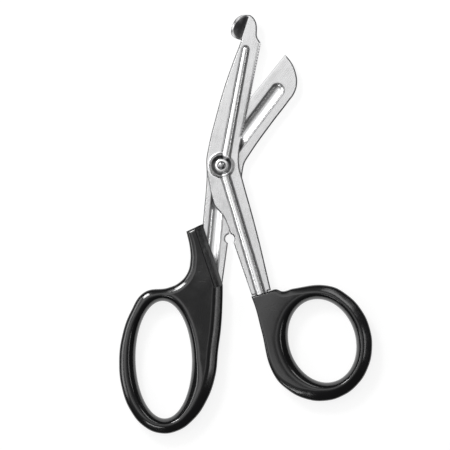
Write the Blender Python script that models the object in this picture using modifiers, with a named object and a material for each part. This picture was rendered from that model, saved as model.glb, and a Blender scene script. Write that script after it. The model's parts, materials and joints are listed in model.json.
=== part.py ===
# Utility shears with angled blades, lying flat and half open.
# Two blades pressed from steel sheet turn on one rivet, and each has a loop handle
# moulded onto its tang. Lengths are in metres and angles in degrees.
# Every piece is drawn from the pivot at (0, 0), with z = 0 between the two blades.
# A bearing is an angle clockwise from +Y. A station is a distance along an arm and
# a distance to the right of it, seen from above while looking out from the pivot.

import math

import bmesh
import bpy
from mathutils import Matrix, Vector

# Steel sheet and gaps
SHEET_THICKNESS = 0.0018
BLADE_GAP = 0.0003            # between the flat faces of the two blades
HANDLE_GAP = 0.0003           # all round a tang in its handle
RIVET_GAP = 0.00025           # round the rivet and between it, the washer and the seats

# The four arms
FRONT_BLADE_BEARING = 10.5
FRONT_SHANK_BEARING = 163.3
REAR_BLADE_BEARING = 37.0
REAR_SHANK_BEARING = 185.3

# Front blade, from the pivot to the shoulder where the foot starts
FRONT_BLADE_LENGTH = 0.0571
FRONT_EDGE_AT_SHOULDER = 0.0077
FRONT_EDGE_AT_HEEL = 0.0069
CUTTING_EDGE_HEEL = 0.0141    # distance of both cutting edges' heels from the pivot
FRONT_SPINE_AT_PIVOT = 0.0073
FRONT_SPINE_AT_FOOT = 0.0019
FRONT_BEVEL_WIDTH = 0.0011
EDGE_THICKNESS = 0.00025
TOOTH_PITCH = 0.0013
TOOTH_DEPTH = 0.00035

# Blunt foot at the front blade's tip: a flat toe and a flange curled up beside it
FOOT_LENGTH = 0.0119
FOOT_TOE_WIDTH = 0.0046
FLANGE_REACH = 0.0083         # measured on the sheet, from the fold to the rim
FLANGE_SHEET = 0.0012
FLANGE_FOLD = 25.0            # slope at the fold
FLANGE_CURL = 68.0            # slope at the rim
FLANGE_LEAN = 0.2             # how far the rim leans back to the heel, per unit of reach

# Rear blade
REAR_BLADE_LENGTH = 0.0572
REAR_EDGE_AT_TIP = 0.0072
REAR_EDGE_AT_HEEL = 0.0085
REAR_BACK_WIDTH = 0.0068
REAR_BEVEL_WIDTH = 0.0014

# Shanks, from the pivot to where each handle begins
FRONT_SHANK_LENGTH = 0.0600
FRONT_SHANK_OUTER = 0.0052
FRONT_SHANK_INNER = 0.0038
REAR_SHANK_LENGTH = 0.0532
REAR_SHANK_OUTER = 0.0060
REAR_SHANK_INNER = 0.0053
SHANK_HUMP = 0.0082           # inner side, just below the pivot
NOTCH_DISTANCE = 0.0332       # wire notches, one in each shank's inner side
NOTCH_RADIUS = 0.0021
NOTCH_BEARING = 173.5
FRONT_TANG_LENGTH = 0.0190
REAR_TANG_LENGTH = 0.0200
TANG_STEP = 0.0015
TANG_END_WIDTH = 0.0040
TANG_HOLE_RADIUS = 0.0013

# Pressed ribs: proud on the outer face of each blade, hollow on its inner face
RIB_HEIGHT = 0.0010
GROOVE_DEPTH = 0.0010
FRONT_RIB_WIDTH = 0.0042
FRONT_RIB_TIP_WIDTH = 0.0034
FRONT_RIB_END = 0.0550
FRONT_RIB_OFFSET = 0.00105
FRONT_SHANK_RIB_OFFSET = -0.00035
FRONT_GROOVE_WIDTH = 0.0028
REAR_RIB_WIDTH = 0.0066
REAR_GROOVE_WIDTH = 0.0059
REAR_GROOVE_END = 0.0452
REAR_GROOVE_OFFSET = -0.0003
REAR_SHANK_GROOVE_OFFSET = 0.00025
RIB_OVERRUN = 0.0040          # how far a rib runs on inside its handle
RIB_SINK = 0.00004            # how far a rib's widest line lies inside the sheet
BEARING_RADIUS = 0.0090       # flat ring round the rivet, which no groove enters

# Dished seat at the pivot, and the rivet
COLLAR_RADIUS = 0.0057
DISH_RADIUS = 0.0047
SEAT_RADIUS = 0.0033
SEAT_DEPTH = 0.0002
RIVET_RADIUS = 0.0015
RIVET_HEAD_RADIUS = 0.00195
RIVET_HEAD_HEIGHT = 0.0010
RIVET_TAIL_RADIUS = 0.0024
RIVET_TAIL_HEIGHT = 0.0008
WASHER_RADIUS = 0.0028
WASHER_THICKNESS = 0.0005

# Handles
HANDLE_THICKNESS = 0.0110
HANDLE_ROUNDING = 0.0027
FLANK_ANGLE = 58.0            # slope at which a hole's flank meets the handle's face
THUMB_HOLE_BEYOND = 0.02859   # from the shank's end on to the middle of the hole
THUMB_HOLE_SIDE = -0.02072
THUMB_HOLE_LENGTH = 0.0381
THUMB_HOLE_WIDTH = 0.0299
THUMB_HOLE_TILT = -17.5
THUMB_RING_OUTER = 0.0072
THUMB_RING_INNER = 0.0115
THUMB_RING_END = 0.0075
THUMB_FLANK_INNER = 0.0050
THUMB_FLANK_OUTER = 0.0026
FINGER_HOLE_BEYOND = 0.03623
FINGER_HOLE_SIDE = 0.01782
FINGER_HOLE_LENGTH = 0.0528
FINGER_HOLE_WIDTH = 0.0253
FINGER_HOLE_TILT = -1.2
FINGER_RING_TILT = 5.3
FINGER_RING_OUTER = 0.0072
FINGER_RING_INNER = 0.0118
FINGER_RING_TOP = 0.0102
FINGER_RING_BOTTOM = 0.0068
FINGER_FLANK_SIDE = 0.0040
FINGER_FLANK_END = 0.0027
HORN_LENGTH = 0.0262          # from where the finger handle ends beside the shank, up it
HORN_WIDTH = 0.0070
LIP_WIDTH = 0.0041
LIP_EDGE = 0.0006             # height above z = 0 at which the sloped lip ends
PEG_WALL = 0.0003             # running room round the moulded pegs in the tang holes

STEEL = (0.62, 0.63, 0.65)
BRIGHT_STEEL = (0.72, 0.72, 0.73)
BLACK_PLASTIC = (0.012, 0.012, 0.013)

FRONT_BOTTOM = BLADE_GAP / 2
FRONT_TOP = FRONT_BOTTOM + SHEET_THICKNESS
REAR_TOP = -BLADE_GAP / 2
REAR_BOTTOM = REAR_TOP - SHEET_THICKNESS
HALF_HANDLE = HANDLE_THICKNESS / 2
OVERCUT = 0.001               # how far a cutter runs past what it cuts
WELD_DISTANCE = 0.000003


def station(bearing, along, side):
    # point in the plane, by distance along an arm and distance to its right
    angle = math.radians(bearing)
    x = along * math.sin(angle) + side * math.cos(angle)
    y = along * math.cos(angle) - side * math.sin(angle)
    return Vector((x, y, 0.0))


THUMB_HOLE_CENTRE = station(
    FRONT_SHANK_BEARING, FRONT_SHANK_LENGTH + THUMB_HOLE_BEYOND, THUMB_HOLE_SIDE)
FINGER_HOLE_CENTRE = station(
    REAR_SHANK_BEARING, REAR_SHANK_LENGTH + FINGER_HOLE_BEYOND, FINGER_HOLE_SIDE)


def oval_point(centre, half_length, half_width, tilt, angle):
    turn = math.radians(angle)
    upright = Vector((half_width * math.cos(turn), half_length * math.sin(turn), 0.0))
    place = Vector((centre[0], centre[1], 0.0))
    return place + Matrix.Rotation(math.radians(-tilt), 3, "Z") @ upright


def clear_scene():
    for item in list(bpy.data.objects):
        bpy.data.objects.remove(item, do_unlink=True)


def new_collection(name):
    collection = bpy.data.collections.new(name)
    bpy.context.scene.collection.children.link(collection)
    return collection


def new_material(name, colour, roughness, metallic):
    material = bpy.data.materials.new(name)
    material.use_nodes = True
    shader = material.node_tree.nodes["Principled BSDF"]
    shader.inputs["Base Color"].default_value = (*colour, 1.0)
    shader.inputs["Roughness"].default_value = roughness
    shader.inputs["Metallic"].default_value = metallic
    return material


def object_from_bmesh(name, mesh_data, collection):
    bmesh.ops.recalc_face_normals(mesh_data, faces=mesh_data.faces)
    if mesh_data.calc_volume(signed=True) < 0.0:
        bmesh.ops.reverse_faces(mesh_data, faces=mesh_data.faces)
    mesh = bpy.data.meshes.new(name)
    mesh_data.to_mesh(mesh)
    mesh_data.free()
    item = bpy.data.objects.new(name, mesh)
    collection.objects.link(item)
    return item


def evaluated_solid(source, name, collection):
    # the source as the viewport shows it, welded into one mesh; the source is removed
    bpy.context.view_layer.update()
    graph = bpy.context.evaluated_depsgraph_get()
    shown = bpy.data.meshes.new_from_object(source.evaluated_get(graph))
    solid = bmesh.new()
    solid.from_mesh(shown)
    bmesh.ops.remove_doubles(solid, verts=solid.verts, dist=1e-6)
    bpy.data.objects.remove(source, do_unlink=True)
    bpy.data.meshes.remove(shown)
    return object_from_bmesh(name, solid, collection)


def outline_solid(name, outline, low, high, collection, rounding=0.0, steps=4):
    # outline is a list of (point, "corner" or "round"), filled and extruded
    curve = bpy.data.curves.new(name + "_outline", "CURVE")
    curve.dimensions = "2D"
    curve.fill_mode = "BOTH"
    curve.resolution_u = steps
    curve.render_resolution_u = 0
    curve.extrude = (high - low) / 2 - rounding
    curve.bevel_depth = rounding
    curve.bevel_resolution = 2
    curve.offset = -rounding
    spline = curve.splines.new("BEZIER")
    spline.bezier_points.add(len(outline) - 1)
    for knot, (point, kind) in zip(spline.bezier_points, outline):
        knot.co = point
        knot.handle_left_type = "VECTOR" if kind == "corner" else "AUTO"
        knot.handle_right_type = knot.handle_left_type
    spline.use_cyclic_u = True
    source = bpy.data.objects.new(name + "_outline", curve)
    source.location.z = (low + high) / 2
    collection.objects.link(source)
    solid = evaluated_solid(source, name, collection)
    solid.data.transform(Matrix.Translation((0.0, 0.0, (low + high) / 2)))
    return solid


def turned_solid(name, profile, collection, steps=28):
    # profile is a list of (radius, height) from the top of the axis to its foot
    sketch = bmesh.new()
    points = [sketch.verts.new((radius, 0.0, height)) for radius, height in profile]
    for upper, lower in zip(points, points[1:]):
        sketch.edges.new((upper, lower))
    mesh = bpy.data.meshes.new(name + "_profile")
    sketch.to_mesh(mesh)
    sketch.free()
    source = bpy.data.objects.new(name + "_profile", mesh)
    collection.objects.link(source)
    screw = source.modifiers.new("turn", "SCREW")
    screw.steps = steps
    screw.render_steps = steps
    screw.use_merge_vertices = True
    screw.merge_threshold = 1e-6
    return evaluated_solid(source, name, collection)


def rod(name, place, radius, low, high, collection, segments=20):
    solid = bmesh.new()
    middle = Matrix.Translation((place[0], place[1], (low + high) / 2))
    bmesh.ops.create_cone(
        solid, cap_ends=True, segments=segments, radius1=radius, radius2=radius,
        depth=high - low, matrix=middle)
    return object_from_bmesh(name, solid, collection)


def block_above(name, start, end, inward, edge_height, slope, width, height, collection):
    # a block whose under face starts on the line from start to end at edge_height and
    # climbs inward at the slope; it removes what stands above that face
    along = (end - start).normalized()
    across = (inward * math.cos(slope) + Vector((0.0, 0.0, math.sin(slope)))).normalized()
    upward = along.cross(across)
    if upward.z < 0.0:
        upward.negate()
    length = (end - start).length
    corner = start + Vector((0.0, 0.0, edge_height)) - across * width / 3
    centre = corner + along * length / 2 + across * width / 2 + upward * height / 2
    turn = Matrix((along, across, upward)).transposed().to_4x4()
    size = Matrix.Diagonal((length, width, height, 1.0))
    solid = bmesh.new()
    bmesh.ops.create_cube(solid, size=1.0, matrix=Matrix.Translation(centre) @ turn @ size)
    return object_from_bmesh(name, solid, collection)


def pressed_rib(name, bearing, offset, start, end, start_width, end_width, height, level,
                collection):
    # a long low dome: a ball drawn out along the arm, narrower towards its far end
    solid = bmesh.new()
    segments = 16
    half_step = math.pi / segments
    bmesh.ops.create_uvsphere(solid, u_segments=segments, v_segments=12, radius=1.0,
                              matrix=Matrix.Rotation(half_step, 4, "Z"))
    reach = end - end_width / 2 - start
    for vertex in solid.verts:
        far = vertex.co.y > 1e-6
        half_width = (end_width if far else start_width) / 2
        side = vertex.co.x / math.cos(half_step) * half_width + offset
        along = start + vertex.co.y * half_width + (reach if far else 0.0)
        place = station(bearing, along, side)
        vertex.co = (place.x, place.y, level + vertex.co.z * height)
    return object_from_bmesh(name, solid, collection)


def loft(name, rings, collection):
    solid = bmesh.new()
    rows = [[solid.verts.new(point) for point in ring] for ring in rings]
    count = len(rows[0])
    for lower, upper in zip(rows, rows[1:]):
        for index in range(count):
            after = (index + 1) % count
            solid.faces.new((lower[index], lower[after], upper[after], upper[index]))
    solid.faces.new(list(reversed(rows[0])))
    solid.faces.new(rows[-1])
    return object_from_bmesh(name, solid, collection)


def combine(target, tool, operation):
    step = target.modifiers.new(tool.name, "BOOLEAN")
    step.operation = operation
    step.object = tool
    step.solver = "EXACT"
    weld = target.modifiers.new(tool.name + "_weld", "WELD")
    weld.merge_threshold = WELD_DISTANCE
    tool.hide_render = True
    tool.display_type = "WIRE"


def tang_outline(bearing, inward, length, outer, inner, tang, gap):
    # the part of a shank that its handle holds; inward is the side facing the other shank
    root = length + gap
    tip = length + tang + gap
    tip_inner = TANG_END_WIDTH / 2 - TANG_STEP / 2 + gap
    tip_outer = TANG_END_WIDTH / 2 + TANG_STEP / 2 + gap
    return [
        (station(bearing, root, inward * (inner - TANG_STEP + gap)), "corner"),
        (station(bearing, tip, inward * tip_inner), "corner"),
        (station(bearing, tip, -inward * tip_outer), "corner"),
        (station(bearing, root, -inward * (outer - TANG_STEP + gap)), "corner"),
    ]


def front_blade_outline():
    blade = FRONT_BLADE_BEARING
    shank = FRONT_SHANK_BEARING
    toe = FRONT_BLADE_LENGTH + FOOT_LENGTH
    bend = FRONT_SPINE_AT_PIVOT
    return [
        (station(blade, FRONT_BLADE_LENGTH, FRONT_EDGE_AT_SHOULDER), "corner"),
        (station(blade, CUTTING_EDGE_HEEL, FRONT_EDGE_AT_HEEL), "corner"),
        (station(blade, 0.0093, FRONT_EDGE_AT_HEEL - 0.0002), "round"),
        (station(shank, 0.0019, -bend - 0.0004), "round"),
        (station(shank, 0.0100, -bend), "round"),
        (station(shank, 0.0250, -bend + 0.0003), "round"),
        (station(shank, 0.0390, -FRONT_SHANK_OUTER - 0.0013), "corner"),
        (station(shank, FRONT_SHANK_LENGTH, -FRONT_SHANK_OUTER), "corner"),
        *reversed(tang_outline(shank, 1, FRONT_SHANK_LENGTH, FRONT_SHANK_OUTER,
                               FRONT_SHANK_INNER, FRONT_TANG_LENGTH, 0.0)),
        (station(shank, FRONT_SHANK_LENGTH, FRONT_SHANK_INNER), "corner"),
        (station(shank, 0.0275, FRONT_SHANK_INNER + 0.0013), "corner"),
        (station(shank, 0.0235, FRONT_SHANK_INNER + 0.0017), "round"),
        (station(shank, 0.0202, SHANK_HUMP - 0.0016), "round"),
        (station(shank, 0.0170, SHANK_HUMP - 0.0002), "round"),
        (station(shank, 0.0128, SHANK_HUMP), "round"),
        (station(shank, 0.0055, SHANK_HUMP - 0.0006), "round"),
        (station(blade, 0.0000, -bend + 0.0003), "round"),
        (station(blade, 0.0065, -bend), "round"),
        (station(blade, 0.0200, -bend + 0.0007), "round"),
        (station(blade, 0.0380, -FRONT_SPINE_AT_FOOT - 0.0029), "round"),
        (station(blade, FRONT_BLADE_LENGTH, -FRONT_SPINE_AT_FOOT), "corner"),
        (fold_point(1.0), "corner"),
        (station(blade, toe - 0.0010, FOOT_TOE_WIDTH * 0.36), "round"),
        (station(blade, toe - 0.0030, FOOT_TOE_WIDTH * 0.84), "round"),
        (station(blade, toe - 0.0052, FOOT_TOE_WIDTH), "round"),
        (station(blade, toe - 0.0088, FOOT_TOE_WIDTH + 0.0006), "round"),
        (station(blade, toe - 0.0106, FOOT_TOE_WIDTH + 0.0018), "round"),
    ]


def rear_blade_outline():
    blade = REAR_BLADE_BEARING
    shank = REAR_SHANK_BEARING
    tip = REAR_BLADE_LENGTH
    back = REAR_BACK_WIDTH
    return [
        (station(blade, tip, -REAR_EDGE_AT_TIP), "corner"),
        (station(blade, tip - 0.0013, -REAR_EDGE_AT_TIP + 0.0047), "round"),
        (station(blade, tip - 0.0037, back - 0.0052), "round"),
        (station(blade, tip - 0.0073, back - 0.0018), "round"),
        (station(blade, tip - 0.0113, back - 0.0002), "round"),
        (station(blade, tip - 0.0160, back), "round"),
        (station(blade, 0.0290, back - 0.0001), "round"),
        (station(blade, 0.0114, back + 0.0004), "round"),
        (station(blade, 0.0070, back + 0.0009), "round"),
        (station(blade, 0.0033, back + 0.0026), "round"),
        (station(shank, 0.0077, -SHANK_HUMP - 0.0014), "round"),
        (station(shank, 0.0140, -SHANK_HUMP), "round"),
        (station(shank, 0.0260, -REAR_SHANK_INNER - 0.0012), "round"),
        (station(shank, 0.0300, -REAR_SHANK_INNER - 0.0010), "corner"),
        (station(shank, REAR_SHANK_LENGTH, -REAR_SHANK_INNER), "corner"),
        *tang_outline(shank, -1, REAR_SHANK_LENGTH, REAR_SHANK_OUTER, REAR_SHANK_INNER,
                      REAR_TANG_LENGTH, 0.0),
        (station(shank, REAR_SHANK_LENGTH, REAR_SHANK_OUTER), "corner"),
        (station(shank, 0.0180, REAR_SHANK_OUTER), "round"),
        (station(shank, 0.0073, REAR_SHANK_OUTER + 0.0001), "round"),
        (station(270.0, 0.0067, 0.0), "round"),
        (station(300.0, 0.0073, 0.0), "round"),
        (station(blade, 0.0062, -REAR_EDGE_AT_HEEL + 0.0002), "round"),
        (station(blade, CUTTING_EDGE_HEEL, -REAR_EDGE_AT_HEEL), "corner"),
    ]


def fold_point(share):
    # the foot's fold runs from the spine's end, share 0, to the toe's tip, share 1
    heel = station(FRONT_BLADE_BEARING, FRONT_BLADE_LENGTH, -FRONT_SPINE_AT_FOOT + 0.0004)
    toe = station(FRONT_BLADE_BEARING, FRONT_BLADE_LENGTH + FOOT_LENGTH, 0.0001)
    return heel.lerp(toe, share)


def foot_flange(tools):
    # a sheared half ellipse of sheet, laid along the fold and curled up from it
    heel = fold_point(0.0)
    toe = fold_point(1.0)
    along = (toe - heel).normalized()
    left = Vector((-along.y, along.x, 0.0))
    half = (toe - heel).length / 2
    start_slope = math.radians(FLANGE_FOLD)
    end_slope = math.radians(FLANGE_CURL)
    bend_radius = FLANGE_REACH / (end_slope - start_slope)
    tuck = SHEET_THICKNESS / 2
    rows = 14
    columns = 6
    sheet = bmesh.new()
    grid = []
    for row in range(rows + 1):
        turn = math.pi * row / rows
        middle = half - (half - tuck) * math.cos(turn)
        reach = FLANGE_REACH * math.sin(turn)
        line = [heel + along * middle - left * tuck]
        for column in range(columns + 1):
            run = reach * column / columns
            slope = start_slope + run / bend_radius
            out = bend_radius * (math.sin(slope) - math.sin(start_slope))
            rise = bend_radius * (math.cos(start_slope) - math.cos(slope))
            place = heel + along * (middle - FLANGE_LEAN * run) + left * out
            line.append(place + Vector((0.0, 0.0, rise)))
        grid.append([sheet.verts.new(point) for point in line])
    for near, far in zip(grid, grid[1:]):
        for column in range(columns + 1):
            sheet.faces.new((near[column], near[column + 1], far[column + 1], far[column]))
    bmesh.ops.remove_doubles(sheet, verts=sheet.verts, dist=1e-6)
    source = object_from_bmesh("foot_flange_sheet", sheet, tools)
    thicken = source.modifiers.new("thickness", "SOLIDIFY")
    thicken.thickness = FLANGE_SHEET
    thicken.offset = 0.0
    flange = evaluated_solid(source, "foot_flange", tools)
    flange.data.transform(Matrix.Translation((0.0, 0.0, (FRONT_BOTTOM + FRONT_TOP) / 2)))
    return flange


def tooth_comb(tools):
    # one strip along the cutting edge, scalloped on the side that bites into it
    heel = station(FRONT_BLADE_BEARING, CUTTING_EDGE_HEEL, FRONT_EDGE_AT_HEEL)
    shoulder = station(FRONT_BLADE_BEARING, FRONT_BLADE_LENGTH, FRONT_EDGE_AT_SHOULDER)
    along = (shoulder - heel).normalized()
    outward = Vector((along.y, -along.x, 0.0))
    count = int((shoulder - heel).length / TOOTH_PITCH) - 1
    facets = 4
    clear = TOOTH_DEPTH * 0.15
    comb = []
    for index in range(count * facets + 1):
        bite = TOOTH_DEPTH * abs(math.sin(math.pi * index / facets))
        place = heel + along * TOOTH_PITCH * (0.5 + index / facets)
        comb.append((place + outward * (clear - bite), "corner"))
    far = along * TOOTH_PITCH * (0.5 + count)
    comb.append((heel + far + outward * 2 * OVERCUT, "corner"))
    comb.append((heel + along * TOOTH_PITCH * 0.5 + outward * 2 * OVERCUT, "corner"))
    return outline_solid("tooth_comb", comb, FRONT_BOTTOM - OVERCUT, FRONT_TOP + OVERCUT, tools)


def seat_collar(name, face, outward, tools):
    # raised collar round the pivot; outward is +1 on an upper face and -1 on a lower one
    rim = COLLAR_RADIUS - (COLLAR_RADIUS - DISH_RADIUS) * 0.7
    rise = outward * RIB_HEIGHT
    profile = [
        (0.0, face + rise),
        (rim, face + rise),
        (COLLAR_RADIUS, face + rise * 0.15),
        (COLLAR_RADIUS, face - rise * 0.5),
        (0.0, face - rise * 0.5),
    ]
    return turned_solid(name, profile, tools, 36)


def seat_dish(name, face, outward, tools):
    rise = outward * RIB_HEIGHT
    floor = face - outward * SEAT_DEPTH
    flare = DISH_RADIUS - SEAT_RADIUS
    profile = [
        (0.0, face + rise * 1.5),
        (DISH_RADIUS + flare * 0.4, face + rise * 1.5),
        (DISH_RADIUS, face + rise),
        (SEAT_RADIUS + flare * 0.35, face + rise * 0.3),
        (SEAT_RADIUS, floor),
        (0.0, floor),
    ]
    return turned_solid(name, profile, tools, 36)


def edge_bevel(name, heel, tip, inward, width, face, outward, tools):
    # slopes the outer face of a blade down to a thin cutting edge on its inner face
    slope = math.atan2(SHEET_THICKNESS - EDGE_THICKNESS, width)
    along = (tip - heel).normalized()
    cutter = block_above(
        name, heel - along * OVERCUT, tip + along * OVERCUT, inward, 0.0, slope,
        3 * (width + SHEET_THICKNESS), 3 * SHEET_THICKNESS, tools)
    base = face + outward * EDGE_THICKNESS
    if outward < 0:
        cutter.data.transform(Matrix.Diagonal((1.0, 1.0, -1.0, 1.0)))
        cutter.data.flip_normals()
    cutter.data.transform(Matrix.Translation((0.0, 0.0, base)))
    return cutter


def notch_place():
    return station(NOTCH_BEARING, NOTCH_DISTANCE, 0.0)


def tang_hole_place(bearing, length, tang, inward):
    return station(bearing, length + tang * 0.45, -inward * TANG_STEP * 0.5)


def make_front_blade(parts, tools):
    blade = outline_solid("front_blade", front_blade_outline(), FRONT_BOTTOM, FRONT_TOP, parts)
    heel = station(FRONT_BLADE_BEARING, CUTTING_EDGE_HEEL, FRONT_EDGE_AT_HEEL)
    shoulder = station(FRONT_BLADE_BEARING, FRONT_BLADE_LENGTH, FRONT_EDGE_AT_SHOULDER)
    inward = station(FRONT_BLADE_BEARING, 0.0, -1.0)
    combine(blade, edge_bevel("front_bevel", heel, shoulder, inward, FRONT_BEVEL_WIDTH,
                              FRONT_BOTTOM, 1, tools), "DIFFERENCE")
    combine(blade, tooth_comb(tools), "DIFFERENCE")
    combine(blade, foot_flange(tools), "UNION")
    combine(blade, rod("front_notch", notch_place(), NOTCH_RADIUS, FRONT_BOTTOM - OVERCUT,
                       FRONT_TOP + OVERCUT, tools), "DIFFERENCE")
    for face_name, level, height, width, tip_width, operation in (
            ("rib", FRONT_TOP - RIB_SINK, RIB_HEIGHT, FRONT_RIB_WIDTH, FRONT_RIB_TIP_WIDTH, "UNION"),
            ("groove", FRONT_BOTTOM - RIB_SINK, GROOVE_DEPTH, FRONT_GROOVE_WIDTH,
             FRONT_GROOVE_WIDTH - FRONT_RIB_WIDTH + FRONT_RIB_TIP_WIDTH, "DIFFERENCE")):
        start = BEARING_RADIUS if face_name == "groove" else DISH_RADIUS
        combine(blade, pressed_rib(
            "front_blade_" + face_name, FRONT_BLADE_BEARING, FRONT_RIB_OFFSET, start,
            FRONT_RIB_END, width, tip_width, height, level, tools), operation)
        combine(blade, pressed_rib(
            "front_shank_" + face_name, FRONT_SHANK_BEARING, FRONT_SHANK_RIB_OFFSET, start,
            FRONT_SHANK_LENGTH + RIB_OVERRUN, width, width, height, level, tools), operation)
    combine(blade, seat_collar("front_collar", FRONT_TOP, 1, tools), "UNION")
    combine(blade, seat_dish("front_dish", FRONT_TOP, 1, tools), "DIFFERENCE")
    combine(blade, rod("front_rivet_hole", (0.0, 0.0), RIVET_RADIUS + RIVET_GAP,
                       FRONT_BOTTOM - OVERCUT, FRONT_TOP + OVERCUT, tools, 28), "DIFFERENCE")
    hole = tang_hole_place(FRONT_SHANK_BEARING, FRONT_SHANK_LENGTH, FRONT_TANG_LENGTH, 1)
    combine(blade, rod("front_tang_hole", hole, TANG_HOLE_RADIUS, FRONT_BOTTOM - OVERCUT,
                       FRONT_TOP + OVERCUT, tools, 16), "DIFFERENCE")
    return blade


def make_rear_blade(parts, tools):
    blade = outline_solid("rear_blade", rear_blade_outline(), REAR_BOTTOM, REAR_TOP, parts)
    heel = station(REAR_BLADE_BEARING, CUTTING_EDGE_HEEL, -REAR_EDGE_AT_HEEL)
    tip = station(REAR_BLADE_BEARING, REAR_BLADE_LENGTH, -REAR_EDGE_AT_TIP)
    inward = station(REAR_BLADE_BEARING, 0.0, 1.0)
    combine(blade, edge_bevel("rear_bevel", heel, tip, inward, REAR_BEVEL_WIDTH,
                              REAR_TOP, -1, tools), "DIFFERENCE")
    combine(blade, rod("rear_notch", notch_place(), NOTCH_RADIUS, REAR_BOTTOM - OVERCUT,
                       REAR_TOP + OVERCUT, tools), "DIFFERENCE")
    for face_name, level, height, width, operation in (
            ("rib", REAR_BOTTOM + RIB_SINK, RIB_HEIGHT, REAR_RIB_WIDTH, "UNION"),
            ("groove", REAR_TOP + RIB_SINK, GROOVE_DEPTH, REAR_GROOVE_WIDTH, "DIFFERENCE")):
        start = BEARING_RADIUS if face_name == "groove" else DISH_RADIUS
        margin = (width - REAR_GROOVE_WIDTH) / 2
        combine(blade, pressed_rib(
            "rear_blade_" + face_name, REAR_BLADE_BEARING, REAR_GROOVE_OFFSET, start,
            REAR_GROOVE_END + margin, width, width, height, level, tools), operation)
        combine(blade, pressed_rib(
            "rear_shank_" + face_name, REAR_SHANK_BEARING, REAR_SHANK_GROOVE_OFFSET, start,
            REAR_SHANK_LENGTH + RIB_OVERRUN, width, width, height, level, tools), operation)
    combine(blade, seat_collar("rear_collar", REAR_BOTTOM, -1, tools), "UNION")
    combine(blade, seat_dish("rear_dish", REAR_BOTTOM, -1, tools), "DIFFERENCE")
    combine(blade, rod("rear_rivet_hole", (0.0, 0.0), RIVET_RADIUS + RIVET_GAP,
                       REAR_BOTTOM - OVERCUT, REAR_TOP + OVERCUT, tools, 28), "DIFFERENCE")
    hole = tang_hole_place(REAR_SHANK_BEARING, REAR_SHANK_LENGTH, REAR_TANG_LENGTH, -1)
    combine(blade, rod("rear_tang_hole", hole, TANG_HOLE_RADIUS, REAR_BOTTOM - OVERCUT,
                       REAR_TOP + OVERCUT, tools, 16), "DIFFERENCE")
    return blade


def dome(radius, foot, height, facets):
    # (radius, height) pairs from the top of a round head to its rim
    points = []
    for index in range(facets + 1):
        turn = math.pi / 2 * index / facets
        points.append((radius * math.sin(turn), foot + height * math.cos(turn)))
    return points


def make_rivet(parts):
    washer_foot = FRONT_TOP - SEAT_DEPTH + RIVET_GAP
    head_foot = washer_foot + WASHER_THICKNESS + RIVET_GAP
    tail_top = REAR_BOTTOM + SEAT_DEPTH - RIVET_GAP
    rim = 0.0003
    head = dome(RIVET_HEAD_RADIUS, head_foot + rim, RIVET_HEAD_HEIGHT, 6)
    tail = dome(RIVET_TAIL_RADIUS, -tail_top + rim, RIVET_TAIL_HEIGHT, 5)
    profile = head + [(RIVET_HEAD_RADIUS, head_foot), (RIVET_RADIUS, head_foot)]
    profile += [(RIVET_RADIUS, tail_top), (RIVET_TAIL_RADIUS, tail_top)]
    profile += [(radius, -height) for radius, height in reversed(tail)]
    return turned_solid("pivot_rivet", profile, parts)


def make_washer(parts):
    foot = FRONT_TOP - SEAT_DEPTH + RIVET_GAP
    top = foot + WASHER_THICKNESS
    bore = RIVET_RADIUS + RIVET_GAP
    edge = WASHER_THICKNESS * 0.3
    profile = [
        (bore, top),
        (WASHER_RADIUS - edge, top),
        (WASHER_RADIUS, top - edge),
        (WASHER_RADIUS, foot),
        (bore, foot),
        (bore, top),
    ]
    return turned_solid("pivot_washer", profile, parts)


def flared_hole(name, centre, half_length, half_width, tilt, flank_end, flank_left,
                flank_right, tools):
    # narrowest half way through, and flaring to both faces in a rounded flank
    rings = []
    levels = 5
    top_turn = math.radians(FLANK_ANGLE)
    across = Matrix.Rotation(math.radians(-tilt), 3, "Z") @ Vector((1.0, 0.0, 0.0))
    for index in range(-levels - 1, levels + 2):
        turn = top_turn * max(-levels, min(levels, index)) / levels
        spread = (1.0 - math.cos(turn)) / (1.0 - math.cos(top_turn))
        level = HALF_HANDLE * math.sin(turn) / math.sin(top_turn)
        if abs(index) > levels:
            spread = 1.0 + OVERCUT * (1.0 - math.cos(top_turn)) / HALF_HANDLE
            level = math.copysign(HALF_HANDLE + OVERCUT, index)
        wide = half_width + spread * (flank_left + flank_right) / 2
        long = half_length + spread * flank_end
        shift = across * spread * (flank_right - flank_left) / 2
        middle = Vector((centre[0], centre[1], 0.0)) + shift
        ring = [oval_point(middle, long, wide, tilt, 360.0 * step / 44) for step in range(44)]
        rings.append([point + Vector((0.0, 0.0, level)) for point in ring])
    return loft(name, rings, tools)


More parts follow.
